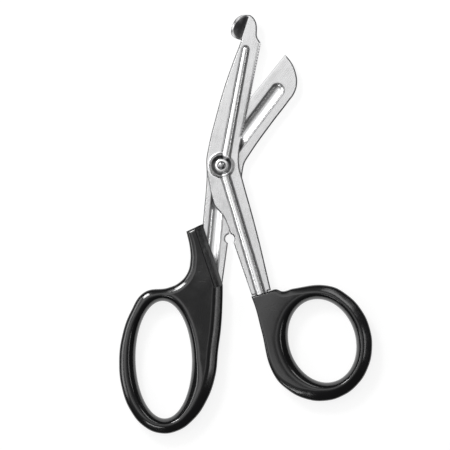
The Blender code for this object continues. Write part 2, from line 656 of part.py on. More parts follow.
def thumb_handle_outline():
    # the ring's outer oval, then the socket at the front shank's end
    shank = FRONT_SHANK_BEARING
    mouth = FRONT_SHANK_LENGTH + HANDLE_GAP
    across = Matrix.Rotation(math.radians(-THUMB_HOLE_TILT), 3, "Z") @ Vector((1.0, 0.0, 0.0))
    shift = across * (THUMB_RING_OUTER - THUMB_RING_INNER) / 2
    centre = (THUMB_HOLE_CENTRE[0] + shift.x, THUMB_HOLE_CENTRE[1] + shift.y)
    half_length = THUMB_HOLE_LENGTH / 2 + THUMB_RING_END
    half_width = (THUMB_HOLE_WIDTH + THUMB_RING_OUTER + THUMB_RING_INNER) / 2
    outline = []
    for angle in range(198, 438, 20):
        point = oval_point(centre, half_length, half_width, THUMB_HOLE_TILT, angle)
        outline.append((point, "round"))
    outer = FRONT_SHANK_OUTER + 0.0022
    outline += [
        (station(shank, mouth + 0.0020, -outer - 0.0076), "round"),
        (station(shank, mouth + 0.0018, -outer - 0.0027), "round"),
        (station(shank, mouth, -outer), "round"),
        (station(shank, mouth, -outer + 0.0025), "corner"),
        (station(shank, mouth, FRONT_SHANK_INNER + 0.0003), "corner"),
        (station(shank, mouth + 0.0056, FRONT_SHANK_INNER), "round"),
        (station(shank, mouth + 0.0158, FRONT_SHANK_INNER + 0.0004), "round"),
    ]
    return outline


def finger_handle_outline():
    # the ring's outer oval, then the side beside the shank, the lip across it and the horn
    shank = REAR_SHANK_BEARING
    half_length = (FINGER_HOLE_LENGTH + FINGER_RING_TOP + FINGER_RING_BOTTOM) / 2
    half_width = (FINGER_HOLE_WIDTH + FINGER_RING_OUTER + FINGER_RING_INNER) / 2
    centre = (FINGER_HOLE_CENTRE[0] + (FINGER_RING_INNER - FINGER_RING_OUTER) / 2,
              FINGER_HOLE_CENTRE[1] + (FINGER_RING_TOP - FINGER_RING_BOTTOM) / 2)
    outline = []
    for angle in range(128, 369, 20):
        point = oval_point(centre, half_length, half_width, FINGER_RING_TILT, angle)
        outline.append((point, "round"))
    start, end = lip_line()
    horn = REAR_SHANK_LENGTH - HORN_LENGTH
    side = REAR_SHANK_OUTER
    outline += [
        (station(shank, REAR_SHANK_LENGTH + 0.0191, -REAR_SHANK_INNER - 0.0013), "round"),
        (station(shank, REAR_SHANK_LENGTH + 0.0050, -REAR_SHANK_INNER - 0.0007), "round"),
        (end, "corner"),
        (start, "corner"),
        (station(shank, horn + 0.0040, side + HORN_WIDTH), "corner"),
        (station(shank, horn + 0.0110, side + HORN_WIDTH - 0.0022), "round"),
        (station(shank, horn + 0.0170, side + HORN_WIDTH - 0.0030), "round"),
        (station(shank, horn + 0.0225, side + HORN_WIDTH - 0.0022), "round"),
        (station(shank, horn + 0.0274, side + HORN_WIDTH + 0.0013), "round"),
        (station(shank, horn + 0.0299, side + HORN_WIDTH + 0.0057), "round"),
    ]
    return outline


def lip_line():
    shank = REAR_SHANK_BEARING
    start = station(shank, REAR_SHANK_LENGTH - HORN_LENGTH, REAR_SHANK_OUTER + 0.0001)
    end = station(shank, REAR_SHANK_LENGTH + HANDLE_GAP, -REAR_SHANK_INNER - 0.0003)
    return start, end


def leave_peg(pocket, name, place, low, high, tools):
    # the pocket is not cut where plastic filled the tang's hole when the handle was moulded
    radius = TANG_HOLE_RADIUS - PEG_WALL
    peg = rod(name, place, radius, low - OVERCUT, high + OVERCUT, tools, 14)
    combine(pocket, peg, "DIFFERENCE")


def make_thumb_handle(parts, tools):
    handle = outline_solid("thumb_handle", thumb_handle_outline(), -HALF_HANDLE, HALF_HANDLE,
                           parts, HANDLE_ROUNDING, 3)
    combine(handle, flared_hole(
        "thumb_hole", THUMB_HOLE_CENTRE, THUMB_HOLE_LENGTH / 2, THUMB_HOLE_WIDTH / 2,
        THUMB_HOLE_TILT, THUMB_FLANK_OUTER, THUMB_FLANK_INNER, THUMB_FLANK_OUTER, tools),
        "DIFFERENCE")
    low = FRONT_BOTTOM - HANDLE_GAP
    high = FRONT_TOP + HANDLE_GAP
    pocket = tang_outline(FRONT_SHANK_BEARING, 1, FRONT_SHANK_LENGTH, FRONT_SHANK_OUTER,
                          FRONT_SHANK_INNER, FRONT_TANG_LENGTH, HANDLE_GAP)
    pocket[0] = (station(FRONT_SHANK_BEARING, FRONT_SHANK_LENGTH - OVERCUT,
                         FRONT_SHANK_INNER - TANG_STEP + HANDLE_GAP), "corner")
    pocket[3] = (station(FRONT_SHANK_BEARING, FRONT_SHANK_LENGTH - OVERCUT,
                         -FRONT_SHANK_OUTER + TANG_STEP - HANDLE_GAP), "corner")
    pocket = outline_solid("thumb_pocket", pocket, low, high, tools)
    place = tang_hole_place(FRONT_SHANK_BEARING, FRONT_SHANK_LENGTH, FRONT_TANG_LENGTH, 1)
    leave_peg(pocket, "thumb_peg", place, low, high, tools)
    combine(handle, pocket, "DIFFERENCE")
    grown = FRONT_RIB_WIDTH + 2 * HANDLE_GAP
    combine(handle, pressed_rib(
        "thumb_rib_pocket", FRONT_SHANK_BEARING, FRONT_SHANK_RIB_OFFSET,
        FRONT_SHANK_LENGTH - RIB_OVERRUN, FRONT_SHANK_LENGTH + RIB_OVERRUN + HANDLE_GAP, grown,
        grown, RIB_HEIGHT + HANDLE_GAP, FRONT_TOP, tools), "DIFFERENCE")
    return handle


def make_finger_handle(parts, tools):
    handle = outline_solid("finger_handle", finger_handle_outline(), -HALF_HANDLE, HALF_HANDLE,
                           parts, HANDLE_ROUNDING, 3)
    combine(handle, flared_hole(
        "finger_hole", FINGER_HOLE_CENTRE, FINGER_HOLE_LENGTH / 2, FINGER_HOLE_WIDTH / 2,
        FINGER_HOLE_TILT, FINGER_FLANK_END, FINGER_FLANK_SIDE, FINGER_FLANK_SIDE, tools),
        "DIFFERENCE")
    shank = REAR_SHANK_BEARING
    start, end = lip_line()
    along = (end - start).normalized()
    inward = Vector((along.y, -along.x, 0.0))
    slope = math.atan2(HALF_HANDLE - LIP_EDGE, LIP_WIDTH)
    combine(handle, block_above(
        "lip_slope", start - along * HORN_WIDTH, end, inward, LIP_EDGE, slope,
        4 * LIP_WIDTH, HANDLE_THICKNESS, tools), "DIFFERENCE")
    low = REAR_BOTTOM - HANDLE_GAP
    high = REAR_TOP + HANDLE_GAP
    open_end = REAR_SHANK_LENGTH - HORN_LENGTH - HORN_WIDTH
    shoulder = REAR_SHANK_LENGTH + HANDLE_GAP
    tang = tang_outline(shank, -1, REAR_SHANK_LENGTH, REAR_SHANK_OUTER, REAR_SHANK_INNER,
                        REAR_TANG_LENGTH, HANDLE_GAP)
    pocket = [
        *tang[:3],
        (station(shank, shoulder, REAR_SHANK_OUTER - TANG_STEP + HANDLE_GAP), "corner"),
        (station(shank, shoulder, REAR_SHANK_OUTER + HANDLE_GAP), "corner"),
        (station(shank, open_end, REAR_SHANK_OUTER + HANDLE_GAP), "corner"),
        (station(shank, open_end, -REAR_SHANK_INNER - HORN_WIDTH), "corner"),
        (station(shank, shoulder, -REAR_SHANK_INNER - HORN_WIDTH), "corner"),
    ]
    pocket = outline_solid("finger_pocket", pocket, low, high, tools)
    place = tang_hole_place(shank, REAR_SHANK_LENGTH, REAR_TANG_LENGTH, -1)
    leave_peg(pocket, "finger_peg", place, low, high, tools)
    combine(handle, pocket, "DIFFERENCE")
    grown = REAR_RIB_WIDTH + 2 * HANDLE_GAP
    margin = (REAR_RIB_WIDTH - REAR_GROOVE_WIDTH) / 2
    combine(handle, pressed_rib(
        "finger_rib_pocket", shank, REAR_SHANK_GROOVE_OFFSET, DISH_RADIUS,
        REAR_SHANK_LENGTH + RIB_OVERRUN + margin + HANDLE_GAP, grown, grown,
        RIB_HEIGHT + HANDLE_GAP, REAR_BOTTOM, tools), "DIFFERENCE")
    return handle


def finish(item, material, pivot):
    item.data.materials.clear()
    item.data.materials.append(material)
    item.data.shade_smooth()
    item.data.set_sharp_from_angle(angle=math.radians(32))
    item.parent = pivot


def set_on_ground(pivot, pieces):
    # moves the pivot so that the box of all pieces is centred on the origin and stands on it
    bpy.context.view_layer.update()
    graph = bpy.context.evaluated_depsgraph_get()
    corners = []
    for piece in pieces:
        shown = piece.evaluated_get(graph)
        corners += [shown.matrix_world @ vertex.co for vertex in shown.data.vertices]
    low = Vector([min(corner[axis] for corner in corners) for axis in range(3)])
    high = Vector([max(corner[axis] for corner in corners) for axis in range(3)])
    pivot.location = (-(low.x + high.x) / 2, -(low.y + high.y) / 2, -low.z)
    bpy.context.view_layer.update()


def main():
    clear_scene()
    parts = new_collection("utility_shears")
    tools = new_collection("cutters")
    pivot = bpy.data.objects.new("pivot", None)
    parts.objects.link(pivot)
    pieces = {
        "front_blade": make_front_blade(parts, tools),
        "rear_blade": make_rear_blade(parts, tools),
        "pivot_rivet": make_rivet(parts),
        "pivot_washer": make_washer(parts),
        "thumb_handle": make_thumb_handle(parts, tools),
        "finger_handle": make_finger_handle(parts, tools),
    }
    looks = {
        "front_blade": (STEEL, 0.30, 1.0),
        "rear_blade": (STEEL, 0.32, 1.0),
        "pivot_rivet": (BRIGHT_STEEL, 0.15, 1.0),
        "pivot_washer": (BRIGHT_STEEL, 0.22, 1.0),
        "thumb_handle": (BLACK_PLASTIC, 0.28, 0.0),
        "finger_handle": (BLACK_PLASTIC, 0.28, 0.0),
    }
    for name, piece in pieces.items():
        finish(piece, new_material(name + "_finish", *looks[name]), pivot)
    for tool in tools.objects:
        tool.parent = pivot
    set_on_ground(pivot, list(pieces.values()))


main()
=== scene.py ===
import json
import math

import bmesh
import bpy
import numpy as np
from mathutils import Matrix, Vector
from mathutils.geometry import delaunay_2d_cdt


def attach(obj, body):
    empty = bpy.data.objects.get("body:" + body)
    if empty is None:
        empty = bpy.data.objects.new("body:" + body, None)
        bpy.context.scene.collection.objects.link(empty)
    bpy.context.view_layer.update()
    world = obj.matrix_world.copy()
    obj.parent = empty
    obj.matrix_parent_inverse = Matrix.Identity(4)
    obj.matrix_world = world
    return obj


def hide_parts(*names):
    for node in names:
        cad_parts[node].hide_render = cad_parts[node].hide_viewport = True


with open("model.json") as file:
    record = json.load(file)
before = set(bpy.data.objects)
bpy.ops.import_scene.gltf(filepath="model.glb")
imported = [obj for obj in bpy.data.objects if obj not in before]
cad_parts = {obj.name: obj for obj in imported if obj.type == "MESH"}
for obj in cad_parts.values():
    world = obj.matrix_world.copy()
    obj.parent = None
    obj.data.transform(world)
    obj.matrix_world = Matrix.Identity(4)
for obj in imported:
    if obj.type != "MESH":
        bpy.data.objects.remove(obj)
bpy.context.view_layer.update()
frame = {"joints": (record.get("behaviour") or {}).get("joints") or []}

# Utility shears lying half open on a white table, seen from straight above.
# Lengths in the dictionaries are millimetres from the pivot, with height 0 between the
# two blades, but metres for the stage. Bearings are degrees clockwise from +Y.
pivot = Vector(frame["joints"][0]["pos_m"])
mm = 0.001

sheet = {
    "thickness": 1.8,
    "gap": 0.3,             # between the two blades
    "edgeBreak": 0.6,       # width of the softened edge all round
    "edgeDrop": 0.4,
    "edgeRows": (0.15, 0.35, 0.54, 0.6, 0.66, 0.9),     # rows of points inside the outline
    "sharpAngle": 38.0,
}
frontLow = sheet["gap"] / 2
frontHigh = frontLow + sheet["thickness"]
rearHigh = -sheet["gap"] / 2
rearLow = rearHigh - sheet["thickness"]


def station(bearing, along, side=0.0):
    # a point by distance along an arm and distance to its right
    turn = math.radians(bearing)
    return (along * math.sin(turn) + side * math.cos(turn),
            along * math.cos(turn) - side * math.sin(turn))


def knot(bearing, along, side=0.0, kind="round", value=1.0):
    # a place on an outline, with a value such as the bevel's width there
    return station(bearing, along, side), kind, value


def knotsAlong(bearing, *rows):
    return [knot(bearing, *row) for row in rows]


def ovalPoint(centre, halfLength, halfWidth, tilt, angle):
    turn, lean = math.radians(angle), math.radians(-tilt)
    x, y = halfWidth * math.cos(turn), halfLength * math.sin(turn)
    return (centre[0] + x * math.cos(lean) - y * math.sin(lean),
            centre[1] + x * math.sin(lean) + y * math.cos(lean))


def tracedLoop(knots, spacing):
    # knots are (point, "corner" or "round", value); gives evenly spaced points along the
    # smooth closed curve through them, and the value carried along it
    curve = bpy.data.curves.new("trace", "CURVE")
    curve.dimensions = "2D"
    curve.fill_mode = "NONE"
    curve.resolution_u = 24
    spline = curve.splines.new("BEZIER")
    spline.bezier_points.add(len(knots) - 1)
    for control, (point, kind, value) in zip(spline.bezier_points, knots):
        control.co = (point[0], point[1], 0.0)
        handles = "VECTOR" if kind == "corner" else "AUTO"
        control.handle_left_type = control.handle_right_type = handles
    spline.use_cyclic_u = True
    source = bpy.data.objects.new("trace", curve)
    bpy.context.scene.collection.objects.link(source)
    bpy.context.view_layer.update()
    graph = bpy.context.evaluated_depsgraph_get()
    mesh = bpy.data.meshes.new_from_object(source.evaluated_get(graph))
    dense = np.array([vertex.co.xy for vertex in mesh.vertices])
    bpy.data.objects.remove(source, do_unlink=True)
    bpy.data.meshes.remove(mesh)
    starts = [int(np.argmin(np.hypot(*(dense - np.array(point)).T))) for point, *rest in knots]
    starts.append(len(dense))
    dense = np.vstack([dense, dense[:1]])
    points, values = [], []
    for index in range(len(knots)):
        run = dense[starts[index]:starts[index + 1] + 1]
        lengths = np.concatenate([[0.0], np.cumsum(np.hypot(*np.diff(run, axis=0).T))])
        count = max(1, int(round(lengths[-1] / spacing)))
        steps = np.arange(count) * lengths[-1] / count
        points.append(np.column_stack([np.interp(steps, lengths, part) for part in run.T]))
        after = knots[(index + 1) % len(knots)][2]
        values.append(knots[index][2] + (after - knots[index][2]) * steps / lengths[-1])
    points, values = np.vstack(points), np.concatenate(values)
    x, y = points.T
    if np.sum(x * np.roll(y, -1) - np.roll(x, -1) * y) < 0.0:
        points, values = points[::-1].copy(), values[::-1].copy()
    return points, values


def nearestOn(points, loop):
    # distance to the loop, and how far along the loop's points the nearest place is
    spans = np.roll(loop, -1, axis=0) - loop
    squares = np.maximum((spans ** 2).sum(axis=1), 1e-12)
    distances, places = [], []
    for part in np.array_split(points, max(1, len(points) // 1500)):
        offset = part[:, None, :] - loop[None, :, :]
        share = np.clip((offset * spans[None]).sum(axis=2) / squares[None], 0.0, 1.0)
        gap = offset - share[..., None] * spans[None]
        square = (gap ** 2).sum(axis=2)
        best = square.argmin(axis=1)
        rows = np.arange(len(part))
        distances.append(np.sqrt(square[rows, best]))
        places.append(best + share[rows, best])
    return np.concatenate(distances), np.concatenate(places)


def carried(places, values):
    # the value at places along a loop, from the values at its points
    low = np.floor(places).astype(int) % len(values)
    share = places - np.floor(places)
    return values[low] * (1.0 - share) + values[(low + 1) % len(values)] * share


def insideLoop(points, loop):
    after = np.roll(loop, -1, axis=0)
    found = []
    for part in np.array_split(points, max(1, len(points) // 2000)):
        x, y = part[:, :1], part[:, 1:]
        crosses = (loop[:, 1] > y) != (after[:, 1] > y)
        rise = np.where(after[:, 1] == loop[:, 1], 1e-12, after[:, 1] - loop[:, 1])
        at = (after[:, 0] - loop[:, 0]) * (y - loop[:, 1]) / rise + loop[:, 0]
        found.append((crosses & (x < at)).sum(axis=1) % 2 == 1)
    return np.concatenate(found)


def insetPoints(loop, depth, inward=1.0):
    # the loop moved inwards, without the points that come nearer to another stretch of it
    tangent = np.roll(loop, -1, axis=0) - np.roll(loop, 1, axis=0)
    tangent /= np.maximum(np.hypot(*tangent.T), 1e-9)[:, None]
    normal = np.column_stack([-tangent[:, 1], tangent[:, 0]]) * inward
    moved = loop + normal * np.broadcast_to(depth, len(loop))[:, None]
    distance = nearestOn(moved, loop)[0]
    return moved[distance > np.broadcast_to(depth, len(loop)) * 0.985 - 0.002]


def offStrip(points, start, end, reach):
    # the points that lie outside a strip along a line
    start, end = np.array(start), np.array(end)
    length = np.hypot(*(end - start))
    along = (end - start) / length
    run = (points - start) @ along
    aside = np.abs((points - start) @ np.array((-along[1], along[0])))
    return points[~((aside < reach) & (run > -0.1) & (run < length + 0.1))]


def lineRow(start, end, offset, spacing):
    # a row of points beside a line
    start, end = np.array(start) + offset, np.array(end) + offset
    count = max(2, int(np.hypot(*(end - start)) / spacing))
    return start + np.linspace(0.003, 0.997, count)[:, None] * (end - start)


def honeycomb(loop, spacing):
    # an even grid of points over the loop's box
    low, high = loop.min(axis=0), loop.max(axis=0)
    rows = np.arange(low[1], high[1], spacing * 0.866)
    columns = np.arange(low[0], high[0], spacing)
    grid = [np.column_stack([columns + (index % 2) * spacing / 2, np.full(len(columns), row)])
            for index, row in enumerate(rows)]
    return np.vstack(grid)


def thinned(points, taken, reach):
    # the points that keep at least this far from the ones already taken
    cells = {}
    for x, y in taken:
        cells.setdefault((int(x // reach), int(y // reach)), []).append((x, y))
    kept = []
    for x, y in points:
        column, row = int(x // reach), int(y // reach)
        near = (cells.get((column + i, row + j), ()) for i in (-1, 0, 1) for j in (-1, 0, 1))
        if all((x - a) ** 2 + (y - b) ** 2 > reach * reach for cell in near for a, b in cell):
            cells.setdefault((column, row), []).append((x, y))
            kept.append((x, y))
    return np.array(kept).reshape(-1, 2)


def filledPlan(loops, rings, extras, spacing):
    # triangles that fill the first loop less the others, with their points
    outer = loops[0]
    fixed = np.vstack([*loops, *rings])
    free = np.vstack([honeycomb(outer, spacing), *extras]) if extras else honeycomb(outer, spacing)
    free = free[insideLoop(free, outer)]
    for hole in loops[1:]:
        free = free[~insideLoop(free, hole)]
    if extras:
        special = np.vstack(extras)
        special = special[insideLoop(special, outer)]
        special = thinned(special, fixed, 0.08)
        fixed = np.vstack([fixed, special])
    free = thinned(free, fixed, spacing * 0.6)
    points = np.vstack([fixed, free])
    edges, first = [], 0
    for loop in loops:
        count = len(loop)
        edges += [(first + index, first + (index + 1) % count) for index in range(count)]
        first += count
    flat = delaunay_2d_cdt([Vector(point) for point in points], edges, [], 0, 1e-5)
    plan = np.array([tuple(point) for point in flat[0]])
    faces = np.array([tuple(face) for face in flat[2]])
    middles = plan[faces].mean(axis=1)
    keep = insideLoop(middles, outer)
    for hole in loops[1:]:
        keep &= ~insideLoop(middles, hole)
    faces = faces[keep]
    a, b, c = plan[faces[:, 0]], plan[faces[:, 1]], plan[faces[:, 2]]
    turn = (b[:, 0] - a[:, 0]) * (c[:, 1] - a[:, 1]) - (b[:, 1] - a[:, 1]) * (c[:, 0] - a[:, 0])
    faces[turn < 0] = faces[turn < 0][:, ::-1]
    return plan, faces


def placed(name, mesh, sharpAngle, node, body):
    mesh.shade_smooth()
    mesh.set_sharp_from_angle(angle=math.radians(sharpAngle))
    piece = bpy.data.objects.new(name, mesh)
    bpy.context.scene.collection.objects.link(piece)
    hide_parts(node)
    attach(piece, body)
    return piece


def shellPiece(name, plan, faces, upper, lower, sharpAngle, node, body, paintedShade=None):
    # closes an upper and a lower surface over one plan into a solid piece
    count = len(plan)
    points = np.vstack([np.column_stack([plan, upper]) if upper.ndim == 1 else upper,
                        np.column_stack([plan, lower]) if lower.ndim == 1 else lower])
    shapes = faces.tolist()
    sides = {(face[index], face[(index + 1) % 3]): True for face in shapes for index in range(3)}
    shapes += (faces[:, ::-1] + count).tolist()
    shapes += [(a + count, b + count, b, a) for a, b in sides if (b, a) not in sides]
    mesh = bpy.data.meshes.new(name)
    mesh.from_pydata([tuple(point) for point in points * mm + np.array(pivot)], [], shapes)
    # a per-point mask of painted shade, which the steel finish darkens the colour by
    if paintedShade is not None:
        layer = mesh.attributes.new("paintedShade", "FLOAT", "POINT")
        layer.data.foreach_set("value", np.concatenate(paintedShade).astype(np.float32))
    solid = bmesh.new()
    solid.from_mesh(mesh)
    loose = [vertex for vertex in solid.verts if not vertex.link_faces]
    bmesh.ops.delete(solid, geom=loose, context="VERTS")
    bmesh.ops.remove_doubles(solid, verts=solid.verts, dist=2e-6)
    bmesh.ops.dissolve_degenerate(solid, edges=solid.edges, dist=1e-7)
    solid.to_mesh(mesh)
    solid.free()
    return placed(name, mesh, sharpAngle, node, body)


def softMin(first, second, blend):
    # the lower of two heights, rounded where they meet
    share = np.clip(0.5 + 0.5 * (second - first) / blend, 0.0, 1.0)
    return second * (1.0 - share) + first * share - blend * share * (1.0 - share)


def softMax(first, second, blend):
    return -softMin(-first, -second, blend)


def ease(value, low, high):
    # 0 below low and 1 above high, smooth between
    share = np.clip((value - low) / (high - low), 0.0, 1.0)
    return share * share * (3.0 - 2.0 * share)


ribs = {
    "height": 1.0,
    "roundness": 0.88,      # lower is flatter on top with steeper flanks
    "fillet": 0.12,
}


def ribShape(points, bearing, offset, start, end, startWidth, endWidth):
    # how far a point is across a rib: 0 on its crest, 1 at its foot
    head = np.array(station(bearing, start + startWidth / 2, offset))
    tail = np.array(station(bearing, end - endWidth / 2, offset))
    span = tail - head
    share = np.clip(((points - head) @ span) / (span @ span), 0.0, 1.0)
    gap = points - head - share[:, None] * span
    half = (startWidth + (endWidth - startWidth) * share) / 2
    return np.hypot(*gap.T) / half


def ribLines(bearing, offset, start, end, startWidth, endWidth, shares, spacing):
    # rows of points along a rib at these shares of its half width
    rows = []
    for share in shares:
        for side in (-1.0, 1.0):
            alongs = np.arange(start, end - endWidth / 2, spacing)
            widths = np.interp(alongs, (start, end), (startWidth, endWidth)) / 2 * share * side
            rows.append(np.array([station(bearing, along, offset + width)
                                  for along, width in zip(alongs, widths)]))
        turns = np.linspace(0.0, math.pi, max(4, int(endWidth * share * 8)))
        reach = endWidth / 2 * share
        rows.append(np.array([station(bearing, end - endWidth / 2 + reach * math.sin(turn),
                                      offset + reach * math.cos(turn)) for turn in turns]))
    return rows


def circleRows(radii, spacing):
    rows = []
    for radius in radii:
        count = max(8, int(2 * math.pi * radius / spacing))
        turns = np.arange(count) * 2 * math.pi / count
        rows.append(np.column_stack([radius * np.cos(turns), radius * np.sin(turns)]))
    return rows


def ribHeight(*shares):
    # the highest of the ribs here, with a small fillet at their feet
    heights = [ribs["height"] * (np.maximum(1.0 - share ** 2, 0.0) ** ribs["roundness"]
                                 - np.maximum(share - 1.0, 0.0)) for share in shares]
    highest = np.maximum.reduce(heights)
    return softMax(highest, np.zeros(len(highest)), ribs["fillet"])


def seatHeights(radius):
    # the collar pressed up round the pivot, and the dish in it for the washer and rivet
    collar = ribs["height"] * (1.0 - ease(radius, seat["dish"], seat["collar"] + 0.3))
    wall = ease(radius, seat["floor"] - 0.3, seat["dish"] + 0.5)
    return collar, -seat["depth"] + (ribs["height"] + seat["depth"] + 0.25) * wall


def bitten(loop, values, centre, radius):
    # a round notch in the loop's edge
    centre = np.array(centre)
    inside = np.hypot(*(loop - centre).T) < radius
    if not inside.any():
        return loop, values
    first = int(np.argmax(inside & ~np.roll(inside, 1)))
    loop, values = np.roll(loop, -first, axis=0), np.roll(values, -first)
    inside = np.roll(inside, -first)
    last = int(np.argmin(inside)) if not inside.all() else len(loop)
    start, end = loop[0] - centre, loop[last - 1] - centre
    a, b = math.atan2(start[1], start[0]), math.atan2(end[1], end[0])
    while b > a:
        b -= 2 * math.pi
    count = max(6, int((a - b) * radius / 0.18))
    turns = np.linspace(a, b, count)
    arc = centre + radius * np.column_stack([np.cos(turns), np.sin(turns)])
    values = np.concatenate([np.full(count, values[0]), values[last:]])
    return np.vstack([arc, loop[last:]]), values


frontBlade = {
    "bladeBearing": 10.5, "shankBearing": 163.3,
    "bladeLength": 57.1, "shankLength": 60.0, "footLength": 11.735,
    "edgeAtShoulder": 7.7, "edgeAtHeel": 6.9, "heel": 14.1,
    "spine": 7.3, "spineAtFoot": 1.9, "outer": 5.2, "inner": 3.8, "hump": 8.2,
    "toeWidth": 4.6, "toothPitch": 1.3, "toothDepth": 0.35,
    "bevelWidth": 1.1, "edgeThickness": 0.25,
    "ribWidth": 4.2, "ribTipWidth": 3.4, "ribEnd": 55.0, "ribOffset": 1.05,
    "shankRibOffset": -0.35, "hollowWidth": 2.8, "insideHandle": 14.0,
    # rows of points on the sheet: across a rib, in the ground edge and round the seat
    "outlineStep": 0.26, "faceStep": 0.62, "groundStep": 0.22, "seatStep": 0.35,
    "ribRows": (0.0, 0.25, 0.5, 0.68, 0.82, 0.92, 1.0, 1.08, 1.2),
    "groundRows": (0.42, 0.62, 0.82), "pastBevel": 0.25,
    "seatRows": (1.95, 2.3, 2.8, 3.1, 3.3, 3.5, 3.8, 4.2, 4.6, 4.8, 5.0, 5.3, 5.6, 5.8, 6.1),
}
rearBlade = {
    "bladeBearing": 37.0, "shankBearing": 185.3,
    "bladeLength": 57.2, "shankLength": 53.2,
    "edgeAtTip": 7.2, "edgeAtHeel": 8.5, "heel": 14.1, "back": 6.8,
    "outer": 6.0, "inner": 5.3, "hump": 8.2,
    "bevelWidth": 1.4, "edgeThickness": 0.25,
    "ribWidth": 6.6, "grooveWidth": 5.9, "grooveEnd": 45.2,
    "grooveOffset": -0.3, "shankGrooveOffset": 0.25, "insideHandle": 14.0,
    "outlineStep": 0.3, "faceStep": 0.65, "groundStep": 0.3, "seatStep": 0.4,
    "ribRows": (0.0, 0.2, 0.4, 0.6, 0.75, 0.86, 0.94, 1.0, 1.06, 1.16),
    "groundRows": (0.12, 0.5, 0.95), "pastBevel": 0.3,
    "seatRows": (1.95, 2.4, 3.0, 3.3, 3.8, 4.3, 4.7, 5.2, 5.7),
}
notch = {"place": station(173.5, 33.2), "radius": 2.1}
seat = {"collar": 5.7, "dish": 4.7, "floor": 3.3, "depth": 0.2, "bore": 1.75, "quiet": 9.0}
foot = {
    "reach": 8.15, "foldSlope": 25.0, "rimSlope": 68.0, "lean": 0.2, "thickness": 1.25,
    # bowlGrime is how dark the painted shade in the curled foot's bowl is
    "foldLength": 0.6, "rimThinning": 0.45, "bowlGrime": 0.93,
}


def footFold():
    # the line that the foot's flange is folded up along, and the directions along and across it
    b = frontBlade
    heel = np.array(station(b["bladeBearing"], b["bladeLength"], -b["spineAtFoot"] + 0.4))
    toe = np.array(station(b["bladeBearing"], b["bladeLength"] + b["footLength"], 0.1))
    along = (toe - heel) / np.hypot(*(toe - heel))
    return heel, toe, along, np.array((-along[1], along[0]))


def cuttingEdge(blade, heelSide, tipSide, turn=1.0):
    # the cutting edge's heel and tip, and the direction from it into the blade
    heel = np.array(station(blade["bladeBearing"], blade["heel"], heelSide))
    tip = np.array(station(blade["bladeBearing"], blade["bladeLength"], tipSide))
    span = tip - heel
    return heel, tip, np.array((-span[1] * turn, span[0] * turn)) / np.hypot(*span)


def toothKnots():
    # scallops along the front blade's cutting edge, from the shoulder back to the heel
    b = frontBlade
    heel, shoulder, inward = cuttingEdge(b, b["edgeAtHeel"], b["edgeAtShoulder"])
    span = np.hypot(*(shoulder - heel))
    along = (shoulder - heel) / span
    count, facets = int(span / b["toothPitch"]) - 1, 6
    places = []
    for index in range(count * facets + 1):
        bite = b["toothDepth"] * (abs(math.sin(math.pi * index / facets)) - 0.15)
        reach = b["toothPitch"] * (0.5 + index / facets)
        places.append((heel + along * reach + inward * max(bite, 0.0), "corner", 1.0))
    return places[::-1]


def frontKnots():
    b = frontBlade
    blade, shank, bend = b["bladeBearing"], b["shankBearing"], b["spine"]
    length, outer, inner, hump = b["shankLength"], b["outer"], b["inner"], b["hump"]
    toe, wide = b["bladeLength"] + b["footLength"], b["toeWidth"]
    end = length + b["insideHandle"]
    heel, tip, along, left = footFold()
    half = np.hypot(*(tip - heel)) / 2
    flap = []
    for step in range(1, 16):
        turn = math.pi * step / 16
        place = heel + along * (half - half * math.cos(turn))
        flap.append((place + left * foot["reach"] * math.sin(turn), "round", 1.0))
    return [
        knot(blade, b["bladeLength"], b["edgeAtShoulder"], "corner"),
        *toothKnots(),
        *knotsAlong(blade, (b["heel"], b["edgeAtHeel"], "corner"), (9.3, b["edgeAtHeel"] - 0.2)),
        *knotsAlong(shank, (1.9, -bend - 0.4), (10.0, -bend), (25.0, -bend + 0.3),
                    (39.0, -outer - 1.3, "corner"), (length, -outer, "corner"),
                    (length, -outer + 1.5, "corner"), (end, -2.0, "corner"), (end, 1.4, "corner"),
                    (length, inner - 1.5, "corner"), (length, inner, "corner"),
                    (27.5, inner + 1.3, "corner"), (23.5, inner + 1.7), (20.2, hump - 1.6),
                    (17.0, hump - 0.2), (12.8, hump), (5.5, hump - 0.6)),
        *knotsAlong(blade, (0.0, -bend + 0.3), (6.5, -bend), (20.0, -bend + 0.7),
                    (38.0, -b["spineAtFoot"] - 2.9)),
        (heel, "corner", 1.0),
        *flap,
        (tip, "round", 1.0),
        *knotsAlong(blade, (toe - 0.35, wide * 0.25), (toe - 1.15, wide * 0.5),
                    (toe - 2.5, wide * 0.74), (toe - 4.2, wide * 0.9), (toe - 6.2, wide),
                    (toe - 8.8, wide + 0.5), (toe - 10.5, wide + 1.7)),
    ]


def rearKnots():
    b = rearBlade
    blade, shank, tip, back = b["bladeBearing"], b["shankBearing"], b["bladeLength"], b["back"]
    length, outer, inner, hump = b["shankLength"], b["outer"], b["inner"], b["hump"]
    end = length + b["insideHandle"]
    return [
        *knotsAlong(blade, (tip, -b["edgeAtTip"], "corner"), (tip - 1.3, -b["edgeAtTip"] + 4.7),
                    (tip - 3.7, back - 5.2), (tip - 7.3, back - 1.8), (tip - 11.3, back - 0.2),
                    (tip - 16.0, back), (29.0, back - 0.1), (11.4, back + 0.4),
                    (7.0, back + 0.9), (3.3, back + 2.6)),
        *knotsAlong(shank, (7.7, -hump - 1.4), (14.0, -hump), (26.0, -inner - 1.2),
                    (30.0, -inner - 1.0, "corner"), (length, -inner, "corner"),
                    (length, -inner + 1.5, "corner"), (end, -1.4, "corner"), (end, 2.0, "corner"),
                    (length, outer - 1.5, "corner"), (length, outer, "corner"), (18.0, outer),
                    (7.3, outer + 0.1)),
        knot(270.0, 6.7),
        knot(300.0, 7.3),
        knot(blade, 6.2, -b["edgeAtHeel"] + 0.2),
        knot(blade, b["heel"], -b["edgeAtHeel"], "corner"),
    ]


